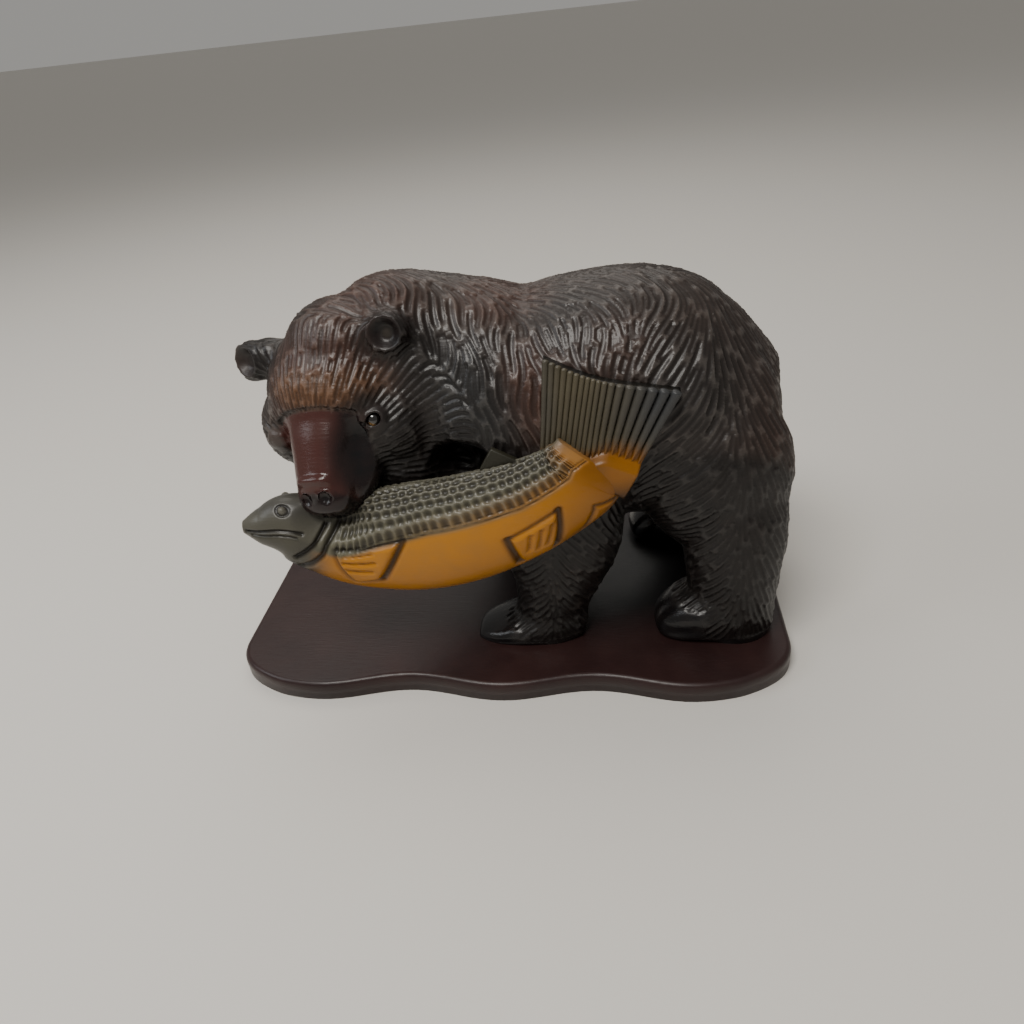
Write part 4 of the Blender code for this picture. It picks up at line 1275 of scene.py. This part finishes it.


# How much lighter the crests of the strokes are painted, as highlights
CREST_HIGHLIGHT = 0.22
points, normals = surface(bear_skin)
places = to_grid(points)
share, widths = groove_share(points, normals, fur)
bare = muzzle_share(places)
side, out, up = head_places(places).T
low_leg = ease(-places[:, 2], -6.5, -2.0)
under = ease(-normals[:, 2], 0.2, 0.8) * ease(places[:, 2], 3.0, 4.0)
# Faces that look down are painted dark, as shade under the belly
nose = bare * ease(out, 5.12, 5.34)
muzzle_side = bare * ease(side, 1.15, 1.65)
lips = ease(out, 2.6, 3.4) * ease(-up, 0.8, 1.2)
# The nostrils are painted black, as shade in their pits, and join the black of the lips
for sign in (1, -1):
    nostril = np.array(on_head(sign * NOSTRIL_PLACE[0], *NOSTRIL_PLACE[1:]))
    lips = np.maximum(lips, 1 - ease(np.linalg.norm(places - nostril, axis=1), 0.16, 0.3))
# Black airbrush and painted shade, kept as one number
soot_and_shade = 1 - (1 - stained(places, SOOT_AND_SHADE_CLOUDS)) * (1 - 0.96 * low_leg) * (1 - 0.9 * under)
soot_and_shade = 1 - (1 - soot_and_shade) * (1 - 0.9 * nose) * (1 - 0.9 * muzzle_side) * (1 - 0.95 * lips)
keep(bear_skin, "soot_and_shade", soot_and_shade)
keep(bear_skin, "ash", stained(places, ASH_CLOUDS))
cup_middle = np.array(Vector(ear_place(1)) + ear_facing(1) * EAR_RADII[2] * 0.5)
keep(bear_skin, "pale", 0.45 * (1 - ease(np.linalg.norm(places - cup_middle, axis=1), 0.1, 0.45)))
keep(bear_skin, "rust", stained(places, RUST_CLOUDS) * (1 - 0.6 * bare))
keep(bear_skin, "amber", stained(places, AMBER_CLOUDS) * (1 - bare))
covered = fur_cover(points, normals)
# The depth of each groove, which the lacquer paints darker as shade
keep(bear_skin, "cut", share * covered)
# The crests of the strokes are painted lighter, as highlights
keep(bear_skin, "crest_highlight", CREST_HIGHLIGHT * covered * (1 - ease(share, 0.2, 0.65)) * (1 - 0.5 * soot_and_shade))
keep(bear_skin, "bare", bare)
paws = (1 - ease(places[:, 2], 1.2, 2.2)) * (1 - covered)
keep(bear_skin, "polish", np.maximum(bare * (0.6 + 0.4 * ease(out, 4.3, 4.6)), paws))


# %% Stains, painted shade and painted highlights on the salmon and its tail
behind_gills = ease(salmon_along, 0.26, 0.36)
belly = ease(-salmon_above, -0.05, 0.25) * behind_gills
edge_glow = (1 - ease(salmon_above, 0.1, 1.1)) * ease(salmon_along, 0.4, 0.85) * 0.6
last_scales = ease(salmon_along, 0.84, 0.95) * (1 - ease(salmon_above, 1.2, 2.6)) * 0.8
back = ease(salmon_above, 0.5, 1.8)
head = 1 - behind_gills
keep(salmon_skin, "amber", np.maximum(belly, np.maximum(edge_glow, last_scales)))
keel = ease(-salmon_up, 0.8, 1.0)
keep(salmon_skin, "soot_and_shade", np.clip(0.45 * back + 0.35 * keel + 0.7 * head, 0, 1))
keep(salmon_skin, "rust", ease(salmon_along, 0.62, 1.0) * belly)
# The depth of the carving, which the lacquer paints darker as shade
keep(salmon_skin, "cut", np.clip(salmon_cut / 0.11, 0, 1))
# The rims of the scales are painted lighter, as highlights
keep(salmon_skin, "crest_highlight", 0.55 * ease(-salmon_cut, -0.02, 0.03) * ease(salmon_above, 0.1, 0.3))

TAIL_AMBER_CLOUDS = [
    ((5.7, -5.3, 9.7), (1.5, 1.6, 1.25), 1.0),
    ((3.4, -5.3, 10.2), (1.8, 1.6, 0.5), 0.5),
]
TAIL_SOOT_CLOUDS = [
    ((8.2, -5.4, 12.6), (3.0, 2.0, 3.0), 1.0),
    ((2.6, -5.0, 13.4), (0.7, 2.0, 3.0), 0.4),
]


def stain_tail(mesh):
    """Amber at the roots of the rays, dark on the right ones."""
    points, _ = surface(mesh)
    places = to_grid(points)
    keep(mesh, "amber", stained(places, TAIL_AMBER_CLOUDS))
    keep(mesh, "soot_and_shade", stained(places, TAIL_SOOT_CLOUDS))
    keep(mesh, "cut", np.zeros(len(points)))


# %% Lacquer
def new_look(name):
    """A new material with its node tree and its shader."""
    look = bpy.data.materials.new(name)
    look.use_nodes = True
    return look, look.node_tree, look.node_tree.nodes["Principled BSDF"]


def node(tree, kind, **settings):
    made = tree.nodes.new(kind)
    for name, value in settings.items():
        setattr(made, name, value)
    return made


def mixed(tree, factor, first, second, blend="MIX"):
    """Mix two colours by a factor; each is a socket or plain numbers."""
    mix = node(tree, "ShaderNodeMix", data_type="RGBA", blend_type=blend)
    inputs = (mix.inputs[0], mix.inputs[6], mix.inputs[7])
    for socket_in, value in zip(inputs, (factor, first, second)):
        if isinstance(value, bpy.types.NodeSocket):
            tree.links.new(value, socket_in)
        elif isinstance(value, tuple):
            socket_in.default_value = (*value, 1)
        else:
            socket_in.default_value = value
    return mix.outputs[2]


def ranged(tree, value, low, high, until=1.0):
    """A value from 0 to until spread from low to high."""
    spread = node(tree, "ShaderNodeMapRange")
    spread.inputs["From Max"].default_value = until
    spread.inputs["To Min"].default_value = low
    spread.inputs["To Max"].default_value = high
    tree.links.new(value, spread.inputs["Value"])
    return spread.outputs["Result"]


def noise(tree, place, scale, detail=3.0):
    speckle = node(tree, "ShaderNodeTexNoise")
    speckle.inputs["Scale"].default_value = scale
    speckle.inputs["Detail"].default_value = detail
    tree.links.new(place, speckle.inputs["Vector"])
    return speckle.outputs["Fac"]


POLISHED = 0.15


def lacquer(name, ground, light, stains, groove_shade, rough=(0.32, 0.44), coat=0.06):
    """Stained and lacquered wood with painted shade in the cuts; stains are pairs of a kept
    number's name and a colour, some of them painted shade or highlights.
    """
    look, tree, shader = new_look(name)
    place = node(tree, "ShaderNodeTexCoord").outputs["Object"]
    colour = mixed(tree, ranged(tree, noise(tree, place, 45), -0.4, 1.4), ground, light)
    uneven = ranged(tree, noise(tree, place, 120), 0.75, 1.15)
    for kept, tint in stains:
        found = node(tree, "ShaderNodeAttribute", attribute_name=kept)
        strength = node(tree, "ShaderNodeMath", operation="MULTIPLY", use_clamp=True)
        tree.links.new(found.outputs["Fac"], strength.inputs[0])
        tree.links.new(uneven, strength.inputs[1])
        colour = mixed(tree, strength.outputs[0], colour, tint)
    # The cuts are painted darker by their depth, as shade in the grooves
    cut = node(tree, "ShaderNodeAttribute", attribute_name="cut")
    depth = ranged(tree, cut.outputs["Fac"], 0.0, groove_shade)
    colour = mixed(tree, depth, colour, (0.006, 0.004, 0.003))
    tree.links.new(colour, shader.inputs["Base Color"])
    polish = node(tree, "ShaderNodeAttribute", attribute_name="polish")
    gloss = node(tree, "ShaderNodeMix", data_type="FLOAT")
    tree.links.new(polish.outputs["Fac"], gloss.inputs[0])
    tree.links.new(ranged(tree, noise(tree, place, 90), *rough), gloss.inputs[2])
    gloss.inputs[3].default_value = POLISHED
    tree.links.new(gloss.outputs[0], shader.inputs["Roughness"])
    shader.inputs["Coat Weight"].default_value = coat
    shader.inputs["Coat Roughness"].default_value = 0.15
    shader.inputs["Specular IOR Level"].default_value = 0.35
    grain = node(tree, "ShaderNodeMapping")
    grain.inputs["Scale"].default_value = (1.0, 6.0, 6.0)
    tree.links.new(place, grain.inputs["Vector"])
    bump = node(tree, "ShaderNodeBump")
    bump.inputs["Strength"].default_value = 0.25
    bump.inputs["Distance"].default_value = 0.0004
    tree.links.new(noise(tree, grain.outputs["Vector"], 160, 5.0), bump.inputs["Height"])
    tree.links.new(bump.outputs["Normal"], shader.inputs["Normal"])
    return look


# The black of the airbrush, also used as painted shade
SOOT_AND_SHADE = (0.004, 0.0035, 0.004)
TAIL_AMBER = (0.26, 0.095, 0.002)
fur_lacquer = lacquer("fur lacquer", (0.030, 0.021, 0.018), (0.060, 0.042, 0.035), [
    ("rust", (0.082, 0.034, 0.022)),
    ("ash", (0.020, 0.021, 0.022)),
    ("amber", (0.17, 0.075, 0.028)),
    ("bare", (0.052, 0.017, 0.014)),
    ("soot_and_shade", SOOT_AND_SHADE),
    ("pale", (0.12, 0.10, 0.07)),
    # Painted highlight along the crests of the strokes
    ("crest_highlight", (0.17, 0.155, 0.14)),
], groove_shade=0.7)
salmon_lacquer = lacquer("salmon lacquer", (0.075, 0.070, 0.042), (0.140, 0.130, 0.085), [
    ("amber", (0.40, 0.155, 0.004)),
    ("rust", (0.20, 0.070, 0.001)),
    ("soot_and_shade", (0.024, 0.023, 0.022)),
    # Painted highlight on the rims of the scales
    ("crest_highlight", (0.16, 0.15, 0.12)),
], groove_shade=0.85)
tail_lacquer = lacquer("tail lacquer", (0.045, 0.037, 0.022), (0.085, 0.072, 0.045), [
    ("amber", TAIL_AMBER),
    ("soot_and_shade", (0.034, 0.035, 0.037)),
], groove_shade=0.0)
# Near black, as painted shade in the cuts between the tail's rays
gap_shade_lacquer = lacquer("gap shade lacquer", (0.004, 0.004, 0.003), (0.012, 0.010, 0.007), [
    ("amber", TAIL_AMBER),
], groove_shade=0.0)
fin_lacquer = lacquer("fin lacquer", (0.016, 0.015, 0.010), (0.035, 0.032, 0.020), [],
                      groove_shade=0.0)
plinth_lacquer = lacquer("plinth lacquer", (0.016, 0.007, 0.007), (0.030, 0.013, 0.012), [],
                         groove_shade=0.0)


def shade_under(look, centre, reach):
    """Painted shade, laid softly in black onto a lacquer round a place, such as under the bear."""
    tree = look.node_tree
    shader = tree.nodes["Principled BSDF"]
    place = node(tree, "ShaderNodeMapping", vector_type="POINT")
    place.inputs["Scale"].default_value = [1 / size for size in reach]
    place.inputs["Location"].default_value = [-at / size for at, size in zip(centre, reach)]
    tree.links.new(node(tree, "ShaderNodeTexCoord").outputs["Object"], place.inputs["Vector"])
    cloud = node(tree, "ShaderNodeTexGradient", gradient_type="QUADRATIC_SPHERE")
    tree.links.new(place.outputs["Vector"], cloud.inputs["Vector"])
    spread = ranged(tree, cloud.outputs["Fac"], 0.0, 1.0, 0.35)
    before = shader.inputs["Base Color"].links[0].from_socket
    tree.links.new(mixed(tree, spread, before, SOOT_AND_SHADE), shader.inputs["Base Color"])


# Painted shade on the plinth under the bear
shade_under(plinth_lacquer, (0.055, 0.01, PLINTH_THICKNESS), (0.11, 0.075, 0.05))


# %% Eye glass
def eye_glass():
    """Dark glass whose lower rim is painted amber, as the light that shines through the glass."""
    look, tree, shader = new_look("eye glass")
    lit_rim = node(tree, "ShaderNodeAttribute", attribute_name="lit_rim")
    place = node(tree, "ShaderNodeTexCoord").outputs["Object"]
    amber = mixed(tree, noise(tree, place, 900), (0.14, 0.07, 0.02), (0.30, 0.17, 0.05))
    colour = mixed(tree, lit_rim.outputs["Fac"], (0.004, 0.003, 0.003), amber)
    tree.links.new(colour, shader.inputs["Base Color"])
    tree.links.new(ranged(tree, noise(tree, place, 500), 0.04, 0.08), shader.inputs["Roughness"])
    shader.inputs["Coat Weight"].default_value = 1.0
    return look


def eye_bead(name, low, high):
    """A glass ball in this box, with its poles along the head's radius."""
    form = bmesh.new()
    bmesh.ops.create_uvsphere(form, u_segments=48, v_segments=24, radius=(high.x - low.x) / 2)
    centre = (low + high) / 2
    skin_normal = (centre - on_grid(HEAD_CENTRE)).normalized()
    turn = skin_normal.to_track_quat("Z", "Y").to_matrix().to_4x4()
    form.transform(Matrix.Translation(centre) @ turn)
    mesh = finished(name, form, recalculate=False)
    mesh.shade_smooth()
    points, _ = surface(mesh)
    away = (points - np.array(centre)) / ((high.x - low.x) / 2)
    # The lower rim is painted amber, as light shining through the bead
    keep(mesh, "lit_rim", ease(away @ np.array((-0.25, -0.55, -0.80)), 0.62, 0.85))
    return mesh


# %% [markdown]
# Putting the pieces in place
#
# Every piece is made where it stands, so its object stays at the origin. All of them belong
# to the one solid of the block, which they replace, and the two beads replace theirs.


# %% Pieces
def piece(name, mesh, look, slot, *nodes):
    """An object of this mesh, held within the box of the solids, that takes the nodes' place."""
    points, _ = surface(mesh)
    set_points(mesh, np.clip(points, *(np.array(corner) for corner in CAD_BOX)))
    thing = placed(name, mesh)
    mesh.materials.clear()
    mesh.materials.append(look)
    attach(thing, "root")
    if nodes:
        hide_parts(*nodes)
    return thing


def with_nodes(curve, tree, values):
    """A curve turned to a mesh by a Geometry Nodes tree whose named inputs are set first."""
    work = placed(curve.name, curve)
    grow = work.modifiers.new("tree", "NODES")
    grow.node_group = tree
    sockets = {item.name: item.identifier for item in tree.interface.items_tree
               if item.item_type == "SOCKET" and item.in_out == "INPUT"}
    for label, value in values.items():
        grow[sockets[label]] = value
    return evaluated(work)


tail_rays = with_nodes(ray_lines(), rays_tree, {"Finish": tail_lacquer})
tail_rays.shade_smooth()
stain_tail(tail_rays)
piece("bear", bear_skin, fur_lacquer, "lacquered_wood", "carved_bear")
piece("salmon", salmon_skin, salmon_lacquer, "lacquered_wood")
tail_plate = fan_plate()
tail_plate.shade_smooth()
stain_tail(tail_plate)
# The plate shows in the cuts between the rays and is near black there, as painted shade
piece("tail_plate", tail_plate, gap_shade_lacquer, "lacquered_wood")
piece("tail_rays", tail_rays, tail_lacquer, "lacquered_wood")
piece("back_fin", back_fin, fin_lacquer, "lacquered_wood")
piece("plinth", plinth, plinth_lacquer, "lacquered_wood")
glass = eye_glass()
for name, (low, high) in eye_boxes.items():
    piece(name + "_bead", eye_bead(name, low, high), glass, "eye_glass", name)
print("tail rays:", len(tail_rays.polygons), "faces")


# %% [markdown]
# Room, light and camera
#
# A plain pale floor and broad soft lamps overhead stand for a bright room. The camera looks
# down steeply from close by.


# %% Floor, light and camera
LAMPS_LOOK_AT = (0, 0, 0.08)
LENS = 27.04
SENSOR_WIDTH = 36
CAMERA_PLACE = (0.05403, -0.3249, 0.26806)
CAMERA_RIGHT = (0.99094, 0.09672, -0.09315)
CAMERA_UP = (0.02447, 0.55201, 0.83348)
CAMERA_AHEAD = (-0.13204, 0.82821, -0.54464)
ROOM_COLOUR = (0.80, 0.78, 0.74, 1)
ROOM_LIGHT = 0.40


def floor():
    form = bmesh.new()
    bmesh.ops.create_circle(form, cap_ends=True, segments=64, radius=60)
    thing = placed("floor", finished("floor", form, recalculate=False))
    look, _, shader = new_look("floor")
    shader.inputs["Base Color"].default_value = (0.64, 0.615, 0.575, 1)
    shader.inputs["Roughness"].default_value = 0.7
    thing.data.materials.append(look)


def lamp(name, place, size, power, colour):
    light = bpy.data.lights.new(name, "AREA")
    light.shape = "RECTANGLE"
    light.size, light.size_y = size
    light.energy = power
    light.color = colour
    thing = placed(name, light)
    thing.location = place
    towards = Vector(LAMPS_LOOK_AT) - Vector(place)
    thing.rotation_euler = towards.to_track_quat("-Z", "Y").to_euler()


def camera():
    """The photograph's camera, as its place and its three axes."""
    view = bpy.data.cameras.new("camera")
    view.lens = LENS
    view.sensor_width = SENSOR_WIDTH
    thing = placed("camera", view)
    turn = Matrix((Vector(CAMERA_RIGHT), Vector(CAMERA_UP), -Vector(CAMERA_AHEAD))).transposed()
    thing.matrix_world = Matrix.Translation(CAMERA_PLACE) @ turn.to_4x4()
    bpy.context.scene.camera = thing


floor()
lamp("overhead", (-0.25, -0.55, 1.15), (0.6, 0.4), 12, (1.0, 0.97, 0.92))
lamp("behind", (-0.2, 0.7, 1.2), (1.2, 0.7), 6, (1.0, 0.96, 0.90))
lamp("window", (-1.1, -0.3, 0.9), (0.6, 0.6), 4, (0.92, 0.96, 1.0))
camera()
world = bpy.data.worlds.new("room")
bpy.context.scene.world = world
world.use_nodes = True
background = world.node_tree.nodes["Background"]
background.inputs["Color"].default_value = ROOM_COLOUR
background.inputs["Strength"].default_value = ROOM_LIGHT
